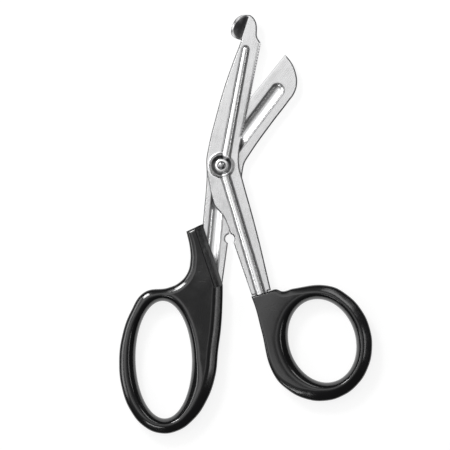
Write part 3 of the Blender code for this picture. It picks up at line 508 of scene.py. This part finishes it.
def edgeSoftening(distance):
    # how far the face drops towards the edge of the sheet
    return sheet["edgeDrop"] * np.clip(1.0 - distance / sheet["edgeBreak"], 0.0, 1.0)


def groundBevel(points, cuttingLine, width, thickness):
    # height above the inner face of the slope ground down to the cutting edge
    heel, tip, inward = cuttingLine
    length = np.hypot(*(tip - heel))
    depth = (points - heel) @ inward
    run = (points - heel) @ ((tip - heel) / length)
    slope = (sheet["thickness"] - thickness) / width
    height = thickness + np.maximum(depth, -0.05) * slope
    height = height + 1.6 * np.maximum(-run, 0.0) + 2.5 * np.maximum(run - length, 0.0)
    onEdge = (run > -2.5) & (run < length + 1.5)
    return np.where(onEdge, height, 99.0), depth


def boreLoop():
    turns = np.arange(40) * 2 * math.pi / 40
    return np.column_stack([seat["bore"] * np.cos(turns), seat["bore"] * np.sin(turns)])


def bladePlan(blade, knots, features, cuttingLine):
    # the blade's outline with its notch and bore, filled with triangles whose points
    # follow the pressed features and the ground edge
    loop, values = tracedLoop(knots, blade["outlineStep"])
    loop, values = bitten(loop, values, notch["place"], notch["radius"])
    heel, tip, inward = cuttingLine
    reach = blade["bevelWidth"]
    rings = [offStrip(insetPoints(loop, depth), heel, tip, reach + 0.2)
             for depth in sheet["edgeRows"]]
    rows = [lineRow(heel, tip, inward * depth, blade["groundStep"])
            for depth in (*blade["groundRows"], reach, reach + blade["pastBevel"])]
    rows += [offStrip(row, heel, tip, reach + 0.1) for row in features]
    rows += circleRows(blade["seatRows"], blade["seatStep"])
    plan, faces = filledPlan([loop, boreLoop()], rings, rows, blade["faceStep"])
    return plan, faces, nearestOn(plan, loop)[0], np.hypot(*plan.T)


def curlFoot(surfaces, beyond, run, length):
    # bends what lies beyond the fold upwards, and thins it towards its rim
    heel, tip, along, left = footFold()
    plan = surfaces[0][:, :2]
    curled = (beyond > 0.0) & (run > -4.0) & (run < length + 3.0) & (plan[:, 1] > heel[1] - 3.0)
    table = np.linspace(0.0, foot["reach"] + 1.0, 200)
    slope = math.radians(foot["foldSlope"]) * ease(table, 0.0, foot["foldLength"])
    slope += math.radians(foot["rimSlope"] - foot["foldSlope"]) * table / foot["reach"]
    out = np.concatenate([[0.0], np.cumsum(np.cos(slope[:-1]) * table[1])])
    rise = np.concatenate([[0.0], np.cumsum(np.sin(slope[:-1]) * table[1])])
    reach = beyond[curled]
    thick = sheet["thickness"] + (foot["thickness"] - sheet["thickness"]) * ease(reach, 0.0, 1.5)
    thick = thick - foot["rimThinning"] * ease(reach, foot["reach"] * 0.5, foot["reach"])
    middle = (frontLow + frontHigh) / 2
    tilt = np.interp(reach, table, slope)
    base = heel + np.outer(run[curled] - foot["lean"] * reach, along)
    base = base + np.outer(np.interp(reach, table, out), left)
    for surface in surfaces:
        level = (surface[curled, 2] - middle) * thick / sheet["thickness"]
        surface[curled, :2] = base - np.outer(np.sin(tilt) * level, left)
        surface[curled, 2] = middle + np.interp(reach, table, rise) + np.cos(tilt) * level


def makeFrontBlade():
    b = frontBlade
    blade, shank, ramp = b["bladeBearing"], b["shankBearing"], b["bevelWidth"]
    bladeRib = (blade, b["ribOffset"], 2.0, b["ribEnd"], b["ribWidth"], b["ribTipWidth"])
    shankEnd, rows = b["shankLength"] + 6.0, b["ribRows"]
    shankRib = (shank, b["shankRibOffset"], 2.0, shankEnd, b["ribWidth"], b["ribWidth"])
    features = [*ribLines(*bladeRib, rows, 0.5), *ribLines(*shankRib, rows, 0.5)]
    heel, tip, along, left = footFold()
    foldLength = np.hypot(*(tip - heel))
    for depth in (-0.3, -0.1, 0.1, 0.3, 0.5, 0.7, 0.95):
        features.append(np.array([heel + along * run + left * depth
                                  for run in np.arange(0.2, foldLength, 0.25)]))
    cuttingLine = cuttingEdge(b, b["edgeAtHeel"], b["edgeAtShoulder"])
    plan, faces, edge, radius = bladePlan(b, frontKnots(), features, cuttingLine)

    # the face that is seen from above: ribs, pivot seat, softened edges and ground edge
    bladeShare, shankShare = ribShape(plan, *bladeRib), ribShape(plan, *shankRib)
    nearRib = np.minimum(bladeShare, shankShare)
    collar, dish = seatHeights(radius)
    dish = dish + 0.45 * (1.0 - ease(nearRib, 0.35, 0.85)) * ease(radius, 2.9, 4.2)
    raised = softMin(softMax(ribHeight(bladeShare, shankShare), collar, 0.25), dish, 0.22)
    beyond, run = (plan - heel) @ left, (plan - heel) @ along
    flap = (run > -1.0) & (run < foldLength + 1.0) & (plan[:, 1] > heel[1] - 3.0)
    softening = edgeSoftening(edge) * (1.0 - 0.85 * flap * ease(beyond, 0.2, 1.6))
    ground, depth = groundBevel(plan, cuttingLine, ramp, b["edgeThickness"])
    top = np.minimum(frontHigh + raised - softening, frontLow + ground)

    # the inner face, hollow under the ribs
    narrow = b["hollowWidth"] / b["ribWidth"]
    hollow = ribHeight(bladeShare / narrow, shankShare / narrow)
    hollow = hollow * ease(radius, seat["quiet"] - 1.5, seat["quiet"] + 1.5)
    bottom = frontLow + hollow + softening * np.where(depth < ramp * 1.5, 0.15, 1.0)
    bottom = np.minimum(bottom, top - 0.15)
    upper, lower = np.column_stack([plan, top]), np.column_stack([plan, bottom])
    curlFoot((upper, lower), beyond, run, foldLength)

    # painted shade at the ribs' feet, in the dish round the rivet, between the teeth, in the foot's
    # bowl and along the sheared edges: the colour is darkened where these creases, hollows and
    # edges fall in shade
    paintedShade = np.exp(-((nearRib - 1.06) / 0.11) ** 2) * (radius > 4.5)
    # painted shade in the dish round the rivet
    ring = ease(radius, 2.7, 3.1) * (1.0 - ease(radius, 4.3, 5.2)) * ease(nearRib, 0.3, 0.75)
    paintedShade = np.maximum(paintedShade, np.minimum(ring * 1.1, 1.0))
    edgeHeel, edgeTip, inward = cuttingLine
    edgeLength = np.hypot(*(edgeTip - edgeHeel))
    alongEdge = (plan - edgeHeel) @ ((edgeTip - edgeHeel) / edgeLength)
    # painted shade in the valleys between the teeth
    valley = np.abs(np.sin(math.pi * (alongEdge / b["toothPitch"] - 0.5)))
    cut = (alongEdge > 0.4) * (alongEdge < edgeLength - 0.3) * ease(valley, 0.35, 0.95) * 0.85
    paintedShade = np.maximum(paintedShade, (1.0 - ease(depth, ramp * 0.5, ramp)) * cut)
    # painted shade in the curled foot's concave bowl
    bowl = foot["bowlGrime"] * flap * ease(beyond, 0.1, 0.5) * ease(edge, 0.45, 0.95)
    # painted shade: dark lines along the sheared edges of the sheet
    edgeShade = 0.9 * (1.0 - ease(edge, 0.12, 0.4)) * ease(depth, ramp * 0.3, ramp)
    above = np.maximum(np.maximum(paintedShade, bowl), edgeShade * (1.0 - flap * ease(beyond, 0.0, 0.8)))
    return shellPiece("frontBladeSheet", plan, faces, upper, lower, sheet["sharpAngle"],
                      "front_blade", "front_half", paintedShade=(above, np.maximum(paintedShade * 0.6, edgeShade)))


def makeRearBlade():
    b = rearBlade
    ramp, width, start, rows = b["bevelWidth"], b["grooveWidth"], seat["quiet"] - 1.5, b["ribRows"]
    bladeGroove = (b["bladeBearing"], b["grooveOffset"], start, b["grooveEnd"], width, width)
    shankGroove = (b["shankBearing"], b["shankGrooveOffset"], start, b["shankLength"] + 6.0,
                   width, width)
    features = [*ribLines(*bladeGroove, rows, 0.5), *ribLines(*shankGroove, rows, 0.5)]
    cuttingLine = cuttingEdge(b, -b["edgeAtHeel"], -b["edgeAtTip"], -1.0)
    plan, faces, edge, radius = bladePlan(b, rearKnots(), features, cuttingLine)

    # the face that is seen from above is hollow where the underside is proud
    share = np.minimum(ribShape(plan, *bladeGroove), ribShape(plan, *shankGroove))
    ground, depth = groundBevel(plan, cuttingLine, ramp, b["edgeThickness"])
    softening = edgeSoftening(edge) * np.where((depth < ramp) & (ground < 90.0), 0.1, 1.0)
    top = rearHigh - ribHeight(share) - softening
    collar, dish = seatHeights(radius)
    raised = softMin(softMax(ribHeight(share * (width / b["ribWidth"])), collar, 0.25), dish, 0.22)
    bottom = np.maximum(rearLow - raised + softening, rearHigh - ground)
    bottom = np.minimum(bottom, top - 0.12)

    # painted shade along the grooves' edges and along the sheared edges of the sheet
    paintedShade = np.exp(-((share - 1.05) / 0.09) ** 2)
    edgeShade = (0.45 + 0.45 * ease(depth, 0.3, 1.4)) * (1.0 - ease(edge, 0.12, 0.4))
    paintedShade = np.maximum(paintedShade, edgeShade)
    return shellPiece("rearBladeSheet", plan, faces, top, bottom, sheet["sharpAngle"],
                      "rear_blade", "rear_half", paintedShade=(paintedShade, paintedShade * 0.6))


rivet = {
    "shank": 1.5, "head": 1.95, "headHeight": 1.0, "headRim": 0.3,
    "tail": 2.4, "tailHeight": 0.8, "gap": 0.25, "facets": 72,
}
washer = {"radius": 2.8, "thickness": 0.5, "edge": 0.16}


def turnedPiece(name, profile, node):
    # a lathe-turned piece from its (radius, height) profile
    sketch = bmesh.new()
    points = [sketch.verts.new((radius * mm, 0.0, height * mm)) for radius, height in profile]
    for upper, lower in zip(points, points[1:]):
        sketch.edges.new((upper, lower))
    bmesh.ops.spin(sketch, geom=sketch.verts[:] + sketch.edges[:], axis=(0, 0, 1), cent=(0, 0, 0),
                   angle=2 * math.pi, steps=rivet["facets"], use_merge=True)
    bmesh.ops.remove_doubles(sketch, verts=sketch.verts, dist=1e-6)
    bmesh.ops.recalc_face_normals(sketch, faces=sketch.faces)
    bmesh.ops.translate(sketch, verts=sketch.verts, vec=pivot)
    mesh = bpy.data.meshes.new(name)
    sketch.to_mesh(mesh)
    sketch.free()
    return placed(name, mesh, 40.0, node, "rear_half")


def domeProfile(radius, level, height, facets):
    # from the top of a dome down to its rim
    turns = [math.pi / 2 * index / facets for index in range(facets + 1)]
    return [(radius * math.sin(turn), level + height * math.cos(turn)) for turn in turns]


def makeRivet():
    washerFoot = frontHigh - seat["depth"] + rivet["gap"]
    headFoot = washerFoot + washer["thickness"] + rivet["gap"]
    tailTop = rearLow + seat["depth"] - rivet["gap"]
    head = domeProfile(rivet["head"], headFoot + rivet["headRim"], rivet["headHeight"], 14)
    tail = domeProfile(rivet["tail"], -tailTop + rivet["headRim"], rivet["tailHeight"], 12)
    profile = head + [(rivet["head"] - 0.05, headFoot), (rivet["shank"], headFoot)]
    profile += [(rivet["shank"], tailTop), (rivet["tail"] - 0.05, tailTop)]
    profile += [(radius, -height) for radius, height in reversed(tail)]
    return turnedPiece("rivetTurned", profile, "pivot_rivet")


def makeWasher():
    low = frontHigh - seat["depth"] + rivet["gap"]
    high = low + washer["thickness"]
    bore, edge, radius = rivet["shank"] + rivet["gap"], washer["edge"], washer["radius"]
    profile = [(bore, high), (radius - edge, high), (radius - edge * 0.3, high - edge * 0.3),
               (radius, high - edge), (radius, low), (bore, low), (bore, high)]
    return turnedPiece("washerTurned", profile, "pivot_washer")


handle = {
    "half": 5.5, "edgeRound": 0.85, "crest": 1.0, "flankAngle": 58.0,
    "bevelRise": 0.46, "bevelCurve": 1.08, "bevelBlend": 0.9,
    "outlineStep": 0.42, "faceStep": 0.5, "holePoints": 150, "sharpAngle": 50.0,
    # rows of points inside the outline, at the bevel's inner side and round the hole
    "edgeRows": (0.03, 0.12, 0.28, 0.52, 0.85, 1.25), "bevelRows": (0.9, 1.0, 1.1),
    "holeRows": (0.02, 0.09, 0.22, 0.42, 0.7, 1.1, 1.6, 2.2),
}
thumb = {
    "hole": (45.3, -78.9), "length": 38.1, "width": 29.9, "tilt": -17.5,
    "ringOuter": 7.16, "ringInner": 11.5, "ringEnd": 7.5, "webSlope": 0.085,
    # width of the hole's flank at these angles round it
    "flank": ((0, 2.5), (60, 2.5), (110, 2.9), (150, 4.0), (180, 5.0), (225, 4.6), (270, 2.8),
              (310, 2.5)),
    # width of the outer bevel, every 20 degrees round the ring from the first angle
    "ringStart": 198, "bevels": (2.0, 3.2, 4.6, 5.2, 5.4, 5.4, 5.2, 5.0, 5.0, 5.0, 4.8, 4.2),
}
finger = {
    "hole": (-26.0, -87.4), "length": 52.8, "width": 25.3, "tilt": -1.2, "ringTilt": 5.3,
    "ringOuter": 7.2, "ringInner": 11.8, "ringTop": 10.2, "ringBottom": 6.795, "webSlope": 0.0,
    "flank": ((0, 2.6), (60, 2.4), (100, 3.2), (140, 4.1), (180, 4.2), (230, 4.0), (270, 2.9),
              (320, 4.4)),
    "ringStart": 128,
    "bevels": (3.2, 3.2, 3.2, 3.2, 3.2, 3.4, 3.8, 4.4, 4.8, 5.0, 5.0, 5.0, 5.0),
    "hornLength": 26.2, "hornWidth": 7.0, "lipWidth": 4.1, "lipEdge": 0.6,
}


def ringKnots(settings, centre, halfLength, tilt):
    halfWidth = (settings["width"] + settings["ringOuter"] + settings["ringInner"]) / 2
    return [(ovalPoint(centre, halfLength, halfWidth, tilt, settings["ringStart"] + 20 * index),
             "round", bevel) for index, bevel in enumerate(settings["bevels"])]


def thumbKnots():
    b, h = frontBlade, thumb
    shank, mouth = b["shankBearing"], b["shankLength"] + 0.3
    lean = math.radians(-h["tilt"])
    shift = (h["ringOuter"] - h["ringInner"]) / 2
    centre = (h["hole"][0] + shift * math.cos(lean), h["hole"][1] + shift * math.sin(lean))
    ring = ringKnots(h, centre, h["length"] / 2 + h["ringEnd"], h["tilt"])
    outer, inner = b["outer"] + 2.2, b["inner"]
    return ring + knotsAlong(
        shank, (mouth + 2.0, -outer - 7.6, "round", 2.6), (mouth + 1.8, -outer - 2.7, "round", 2.4),
        (mouth, -outer, "round", 2.2), (mouth, -outer + 2.5, "corner", 1.4),
        (mouth, inner + 0.3, "corner"), (mouth + 5.6, inner, "round", 1.1),
        (mouth + 15.8, inner + 0.4, "round", 1.3))


def lipLine():
    # the edge of the sloped lip that the shank runs under
    b, h = rearBlade, finger
    shank = b["shankBearing"]
    start = station(shank, b["shankLength"] - h["hornLength"], b["outer"] + 0.1)
    end = station(shank, b["shankLength"] + 0.3, -b["inner"] - 0.3)
    return np.array(start), np.array(end)


def fingerKnots():
    b, h = rearBlade, finger
    shank, length = b["shankBearing"], b["shankLength"]
    halfLength = (h["length"] + h["ringTop"] + h["ringBottom"]) / 2
    centre = (h["hole"][0] + (h["ringInner"] - h["ringOuter"]) / 2,
              h["hole"][1] + (h["ringTop"] - h["ringBottom"]) / 2)
    start, end = lipLine()
    horn, side = length - h["hornLength"], b["outer"] + h["hornWidth"]
    return [
        *ringKnots(h, centre, halfLength, h["ringTilt"]),
        *knotsAlong(shank, (length + 19.1, -b["inner"] - 1.3, "round", 5.0),
                    (length + 5.0, -b["inner"] - 0.7, "round", 4.8)),
        (end, "corner", 4.6),
        (start, "corner", 0.6),
        *knotsAlong(shank, (horn + 4.0, side, "corner", 2.0),
                    (horn + 11.0, side - 2.2, "round", 2.6),
                    (horn + 17.0, side - 3.0, "round", 2.8),
                    (horn + 22.5, side - 2.2, "round", 3.0),
                    (horn + 27.4, side + 1.3, "round", 3.2),
                    (horn + 29.9, side + 5.7, "round", 3.2)),
    ]


def handlePiece(name, knots, settings, body, node, lip=None):
    # a moulding with a rounded outer edge, a wide bevel and a hole that flares to both
    # faces, and with a lip that slopes down over the shank
    loop, bevels = tracedLoop(knots, handle["outlineStep"])
    count = handle["holePoints"]
    hole = np.array([ovalPoint(settings["hole"], settings["length"] / 2, settings["width"] / 2,
                               settings["tilt"], 360.0 * step / count) for step in range(count)])
    rings = [insetPoints(loop, depth) for depth in handle["edgeRows"]]
    rings += [insetPoints(loop, bevels * share) for share in handle["bevelRows"]]
    rings += [insetPoints(hole, depth, -1.0) for depth in handle["holeRows"]]
    if lip is not None:
        start, end = lip
        along = (end - start) / np.hypot(*(end - start))
        inward = np.array((along[1], -along[0]))
        wide = settings["lipWidth"]
        crease = (start + inward * wide, end + inward * wide)
        tail = (end + inward * 0.15, end + inward * (wide + 0.6))
        rings = [offStrip(offStrip(ring, *crease, 0.75), *tail, 0.3) for ring in rings]
        rings += [lineRow(*crease, inward * depth, 0.35) for depth in (-0.5, -0.2, 0.0, 0.2, 0.5)]
        rings += [lineRow(*tail, along * depth, 0.25) for depth in (-0.2, -0.02, 0.04, 0.25)]
    clean = []
    for ring in rings:
        ring = ring[insideLoop(ring, loop)] if len(ring) else ring
        ring = ring[~insideLoop(ring, hole)] if len(ring) else ring
        clean.append(thinned(ring, np.vstack([loop, hole, *clean]), 0.018))
    plan, faces = filledPlan([loop, hole], clean, [], handle["faceStep"])

    # down from the crest to the outline
    edge, places = nearestOn(plan, loop)
    bevel = carried(places, bevels)
    holeEdge = nearestOn(plan, hole)[0]
    across = plan - np.array(settings["hole"])
    angles = np.degrees(np.arctan2(across[:, 1], across[:, 0])) % 360.0
    flank = np.interp(angles, *zip(*settings["flank"]), period=360.0)
    high, blend, corner = handle["half"], handle["bevelBlend"], handle["edgeRound"]
    curve = np.clip(1.0 - edge / bevel, 0.0, 1.0) ** (handle["bevelCurve"] - 1.0)
    slope = softMax(handle["bevelRise"] * (bevel - edge) * curve,
                    settings["webSlope"] * (holeEdge - flank), blend)
    slope = np.maximum(slope - blend * 0.06, 0.0)
    lost = np.clip(1.0 - edge / corner, 0.0, 1.0)
    outer = high - slope - corner * (1.0 - np.sqrt(1.0 - lost ** 2))

    # and down to the hole
    turn = math.radians(handle["flankAngle"])
    sweep = np.clip(1.0 - holeEdge / flank * (1.0 - math.cos(turn)), 0.0, 1.0)
    inner = high * np.sqrt(1.0 - sweep ** 2) / math.sin(turn)
    top = softMin(outer, inner, handle["crest"] * ease(holeEdge, 0.0, 1.2) + 1e-4)
    bottom = -top
    if lip is not None:
        depth = (plan - start) @ inward
        beside = (plan - start) @ along < np.hypot(*(end - start)) + 0.01
        ramp = settings["lipEdge"] + depth * (high - settings["lipEdge"]) / wide
        ramp = np.where(beside & (depth < wide + 1.0) & (depth > -1.0), ramp, 99.0)
        top = softMin(top, ramp, 0.3)
    return shellPiece(name, plan, faces, top, bottom, handle["sharpAngle"], node, body)


print("blades")
frontPiece = makeFrontBlade()
rearPiece = makeRearBlade()
print("pivot")
rivetPiece = makeRivet()
washerPiece = makeWasher()
print("handles")
thumbPiece = handlePiece("thumbHandleMoulding", thumbKnots(), thumb, "front_half", "thumb_handle")
fingerPiece = handlePiece("fingerHandleMoulding", fingerKnots(), finger, "rear_half",
                          "finger_handle", lipLine())


steels = {
    # colour, roughness, bearing of the grinding lines and how deep they are
    "frontBladeSteel": ((0.88, 0.88, 0.885), 0.25, 10.5, 1.0),
    "rearBladeSteel": ((0.88, 0.88, 0.885), 0.25, 37.0, 1.0),
    "rivetSteel": ((0.36, 0.36, 0.37), 0.13, 0.0, 0.2),
    "washerSteel": ((0.88, 0.88, 0.885), 0.22, 0.0, 0.4),
}
plastic = {"colour": (0.006, 0.006, 0.0065), "roughness": 0.14, "specular": 0.75}
# the near-black colour of painted shade in creases, hollows and along edges
paintedShadeColour = (0.03, 0.03, 0.032, 1.0)


def setInput(socket, value):
    # sets a plain value, or links a socket or a node's first output
    if isinstance(value, bpy.types.Node):
        value = value.outputs[0]
    if isinstance(value, bpy.types.NodeSocket):
        socket.id_data.links.new(value, socket)
    else:
        socket.default_value = value


def setInputs(inputs, **values):
    for key, value in values.items():
        setInput(inputs[key.replace("_", " ")], value)


def addNode(tree, kind, *values, settings=None, **named):
    # a shader node, with values for its inputs in order or by name with _ for a space
    node = tree.nodes.new("ShaderNode" + kind)
    for key, value in (settings or {}).items():
        setattr(node, key, value)
    for socket, value in zip(node.inputs, values):
        setInput(socket, value)
    setInputs(node.inputs, **named)
    return node


def addMath(tree, operation, *values):
    return addNode(tree, "Math", *values, settings={"operation": operation})


def addMix(tree, factor, first, second, blend="MIX"):
    node = addNode(tree, "Mix", factor, settings={"data_type": "RGBA", "blend_type": blend})
    setInput(node.inputs[6], first)
    setInput(node.inputs[7], second)
    return node.outputs[2]


def addRange(tree, value, low, high, lowest=0.0, highest=1.0):
    return addNode(tree, "MapRange", value, low, high, lowest, highest)


def stretchedNoise(tree, place, scale, detail, roughness=0.5, rotation=(0.0, 0.0, 0.0)):
    stretched = addNode(tree, "Mapping", Vector=place, Rotation=rotation, Scale=scale)
    return addNode(tree, "TexNoise", Vector=stretched, Scale=1.0, Detail=detail,
                   Roughness=roughness)


def newMaterial(name):
    material = bpy.data.materials.new(name)
    material.use_nodes = True
    return material, material.node_tree, material.node_tree.nodes["Principled BSDF"].inputs


def newGroup(name, takes, gives):
    group = bpy.data.node_groups.new(name, "ShaderNodeTree")
    for label, kind, value in takes:
        socket = group.interface.new_socket(label, in_out="INPUT", socket_type="NodeSocket" + kind)
        socket.default_value = value
    for label, kind in gives:
        group.interface.new_socket(label, in_out="OUTPUT", socket_type="NodeSocket" + kind)
    given, made = group.nodes.new("NodeGroupInput"), group.nodes.new("NodeGroupOutput")
    return group, given.outputs, made.inputs


def addGroup(tree, group, **values):
    node = tree.nodes.new("ShaderNodeGroup")
    node.node_tree = group
    setInputs(node.inputs, **values)
    return node.outputs


def makeBrushedGroup():
    # fine grinding lines, blotches from handling, small scratches, and painted shade: a near-black
    # colour mixed in, in patches, where the shade mask says
    group, given, made = newGroup("brushedSteel", (
        ("Vector", "Vector", (0.0, 0.0, 0.0)), ("Colour", "Color", (0.8, 0.8, 0.8, 1.0)),
        ("Roughness", "Float", 0.3), ("Grime", "Float", 0.0), ("Grinding", "Float", 1.0)),
        (("Colour", "Color"), ("Roughness", "Float"), ("Height", "Float")))
    place = given["Vector"]
    fine = stretchedNoise(group, place, (5200.0, 70.0, 900.0), 3.0, 0.65)
    broad = stretchedNoise(group, place, (900.0, 22.0, 300.0), 2.0)
    scratch = stretchedNoise(group, place, (1500.0, 120.0, 900.0), 1.0, rotation=(0.0, 0.0, 0.5))
    blotch = addNode(group, "TexNoise", Vector=place, Scale=95.0, Detail=4.0, Roughness=0.6)
    lines = addMath(group, "MULTIPLY_ADD", fine, 0.7, broad)
    level = addMath(group, "MULTIPLY", lines, given["Grinding"])
    scratched = addRange(group, scratch, 0.7, 0.76)
    setInput(made["Height"], addMath(group, "SUBTRACT", level, scratched))

    tone = addRange(group, lines, 0.45, 1.2, 0.93, 1.0)
    toned = addMix(group, 1.0, given["Colour"], tone, "MULTIPLY")
    # painted shade: the shade mask, broken into patches, mixes in the near-black colour and
    # roughens the steel
    patches = addRange(group, blotch, 0.25, 0.6, 0.55, 1.0)
    patchyShade = addMath(group, "MULTIPLY", given["Grime"], patches)
    setInput(made["Colour"], addMix(group, patchyShade, toned, paintedShadeColour))

    handled = addRange(group, blotch, 0.3, 0.75, -0.03, 0.06)
    satin = addMath(group, "ADD", given["Roughness"], handled)
    grooved = addRange(group, fine, 0.3, 0.7, -0.02, 0.03)
    rough = addMath(group, "ADD", satin, grooved)
    setInput(made["Roughness"], addMath(group, "MULTIPLY_ADD", patchyShade, 0.3, rough))
    return group


def makeMouldedGroup():
    # the faint waviness of moulded plastic, hairline scuffs and handling marks
    group, given, made = newGroup("mouldedPlastic", (
        ("Vector", "Vector", (0.0, 0.0, 0.0)), ("Roughness", "Float", 0.15)),
        (("Roughness", "Float"), ("Height", "Float")))
    place = given["Vector"]
    peel = addNode(group, "TexNoise", Vector=place, Scale=420.0, Detail=2.0, Roughness=0.45)
    wave = addNode(group, "TexNoise", Vector=place, Scale=60.0, Detail=1.0)
    worn = addNode(group, "TexNoise", Vector=place, Scale=75.0, Detail=5.0, Roughness=0.62)
    scuff = stretchedNoise(group, place, (140.0, 2600.0, 800.0), 2.0, rotation=(0.0, 0.3, 0.9))
    patches = addRange(group, worn, 0.42, 0.7)
    marks = addMath(group, "MULTIPLY", addRange(group, scuff, 0.64, 0.74), patches)
    height = addMath(group, "MULTIPLY_ADD", wave, 2.2, peel)
    setInput(made["Height"], addMath(group, "MULTIPLY_ADD", marks, -0.35, height))
    dulled = addMath(group, "MULTIPLY_ADD", patches, 0.07, given["Roughness"])
    setInput(made["Roughness"], addMath(group, "MULTIPLY_ADD", marks, 0.22, dulled))
    return group


def steelFinish(name):
    colour, roughness, bearing, grinding = steels[name]
    material, tree, shader = newMaterial(name)
    place = addNode(tree, "TexCoord").outputs["Object"]
    turned = addNode(tree, "Mapping", Vector=place, Rotation=(0.0, 0.0, math.radians(bearing)))
    # the painted shade mask stored on the blade sheets
    paintedShade = addNode(tree, "Attribute", settings={"attribute_name": "paintedShade"}).outputs["Fac"]
    made = addGroup(tree, brushed, Vector=turned, Colour=(*colour, 1.0), Roughness=roughness,
                    Grime=paintedShade, Grinding=grinding)
    bump = addNode(tree, "Bump", Strength=0.2, Distance=0.000012, Height=made["Height"])
    setInputs(shader, Metallic=1.0, Base_Color=made["Colour"], Roughness=made["Roughness"],
              Normal=bump)
    return material


def plasticFinish(name):
    material, tree, shader = newMaterial(name)
    place = addNode(tree, "TexCoord").outputs["Object"]
    made = addGroup(tree, moulded, Vector=place, Roughness=plastic["roughness"])
    bump = addNode(tree, "Bump", Strength=0.18, Distance=0.00006, Height=made["Height"])
    setInputs(shader, Base_Color=(*plastic["colour"], 1.0), Roughness=made["Roughness"],
              Specular_IOR_Level=plastic["specular"], Normal=bump)
    return material


print("finishes")
brushed = makeBrushedGroup()
moulded = makeMouldedGroup()
for piece, material in (
        (frontPiece, steelFinish("frontBladeSteel")), (rearPiece, steelFinish("rearBladeSteel")),
        (rivetPiece, steelFinish("rivetSteel")), (washerPiece, steelFinish("washerSteel")),
        (thumbPiece, plasticFinish("thumbHandlePlastic")),
        (fingerPiece, plasticFinish("fingerHandlePlastic"))):
    piece.data.materials.append(material)


stage = {
    "floor": 3.0, "floorColour": 0.27, "floorGlow": 0.82,
    # the studio's overhead screen: where its middle is, its brightness by angle from
    # there, and the port left for the lens, by angle from straight up
    "screenMiddle": (-0.19, 0.12, 0.975),
    "screen": ((0.0, 1.4), (17.0, 1.4), (24.0, 0.7), (32.0, 0.2), (50.0, 0.07), (75.0, 0.04),
               (180.0, 0.04)),
    "port": ((0.0, 0.15), (4.5, 0.15), (8.0, 1.0), (180.0, 1.0)),
    "lampDistance": 0.9,
}
lamps = (
    # name, direction from the middle, width round the table, height, watts
    ("key", (-0.5, 0.62, 0.9), 0.22, 0.2, 3.0),
    ("left", (-0.76, 0.08, 0.64), 0.8, 0.2, 1.7),
    ("right", (0.72, -0.088, 0.69), 0.34, 0.09, 0.3),
    ("back", (0.5, 0.6, 0.85), 0.5, 0.2, 0.9),
    ("low", (-0.3, -0.85, 0.8), 0.3, 0.1, 0.5),
)
overhead = {
    "lens": 300.0, "sensor": 36.0,
    "width": 0.2025,                    # of the table that the picture shows
    "aim": (0.001575, -0.026775),       # the picture's middle, from the pivot
}


def makeFloor():
    bpy.ops.mesh.primitive_plane_add(size=stage["floor"], location=(0.0, 0.0, -0.00005))
    floor = bpy.context.object
    floor.name = "table"
    material, tree, shader = newMaterial("tableWhite")
    setInputs(shader, Base_Color=(stage["floorColour"],) * 3 + (1.0,), Roughness=0.9,
              Specular_IOR_Level=0.0, Emission_Color=(1.0, 1.0, 1.0, 1.0))
    path = addNode(tree, "LightPath").outputs
    seen = addMath(tree, "MAXIMUM", path["Is Camera Ray"], path["Is Glossy Ray"])
    seen = addMath(tree, "MAXIMUM", seen, path["Is Transmission Ray"])
    setInput(shader["Emission Strength"], addMath(tree, "MULTIPLY", seen, stage["floorGlow"]))
    floor.data.materials.append(material)


def byAngle(tree, direction, marks):
    # brightness by the angle from a direction
    place = addNode(tree, "TexCoord").outputs["Generated"]
    facing = addNode(tree, "VectorMath", place, Vector(direction).normalized(),
                     settings={"operation": "DOT_PRODUCT"}).outputs["Value"]
    turn = addMath(tree, "DIVIDE", addMath(tree, "ARCCOSINE", facing), math.pi)
    curve = addNode(tree, "FloatCurve", Value=turn)
    curve.mapping.clip_max_y = 2.0
    points = curve.mapping.curves[0].points
    while len(points) < len(marks):
        points.new(0.5, 0.5)
    for point, (degrees, level) in zip(points, marks):
        point.location = (degrees / 180.0, level)
        point.handle_type = "VECTOR"
    curve.mapping.update()
    return curve


def makeWorld():
    world = bpy.data.worlds.new("studio")
    bpy.context.scene.world = world
    world.use_nodes = True
    tree = world.node_tree
    screen = addMath(tree, "MULTIPLY", byAngle(tree, stage["screenMiddle"], stage["screen"]),
                     byAngle(tree, (0.0, 0.0, 1.0), stage["port"]))
    seen = addNode(tree, "LightPath").outputs["Is Camera Ray"]
    level = addNode(tree, "Mix", Factor=seen, A=screen, B=1.0)
    setInputs(tree.nodes["Background"].inputs, Color=(1.0, 1.0, 1.0, 1.0), Strength=level)


def makeLamps():
    for name, direction, width, height, watts in lamps:
        data = bpy.data.lights.new(name, "AREA")
        data.shape = "RECTANGLE"
        data.size, data.size_y, data.energy = width, height, watts
        lamp = bpy.data.objects.new(name, data)
        bpy.context.scene.collection.objects.link(lamp)
        towards = Vector(direction).normalized()
        lamp.location = towards * stage["lampDistance"]
        lamp.rotation_euler = towards.to_track_quat("Z", "Y").to_euler()
        lamp.visible_camera = False


def makeCamera():
    data = bpy.data.cameras.new("overhead")
    data.lens, data.sensor_width = overhead["lens"], overhead["sensor"]
    camera = bpy.data.objects.new("overhead", data)
    bpy.context.scene.collection.objects.link(camera)
    x, y = overhead["aim"]
    distance = overhead["width"] * overhead["lens"] / overhead["sensor"]
    camera.location = (pivot.x + x, pivot.y + y, pivot.z + distance)
    bpy.context.scene.camera = camera


print("stage")
makeFloor()
makeWorld()
makeLamps()
makeCamera()
bpy.context.scene.view_settings.view_transform = "Standard"
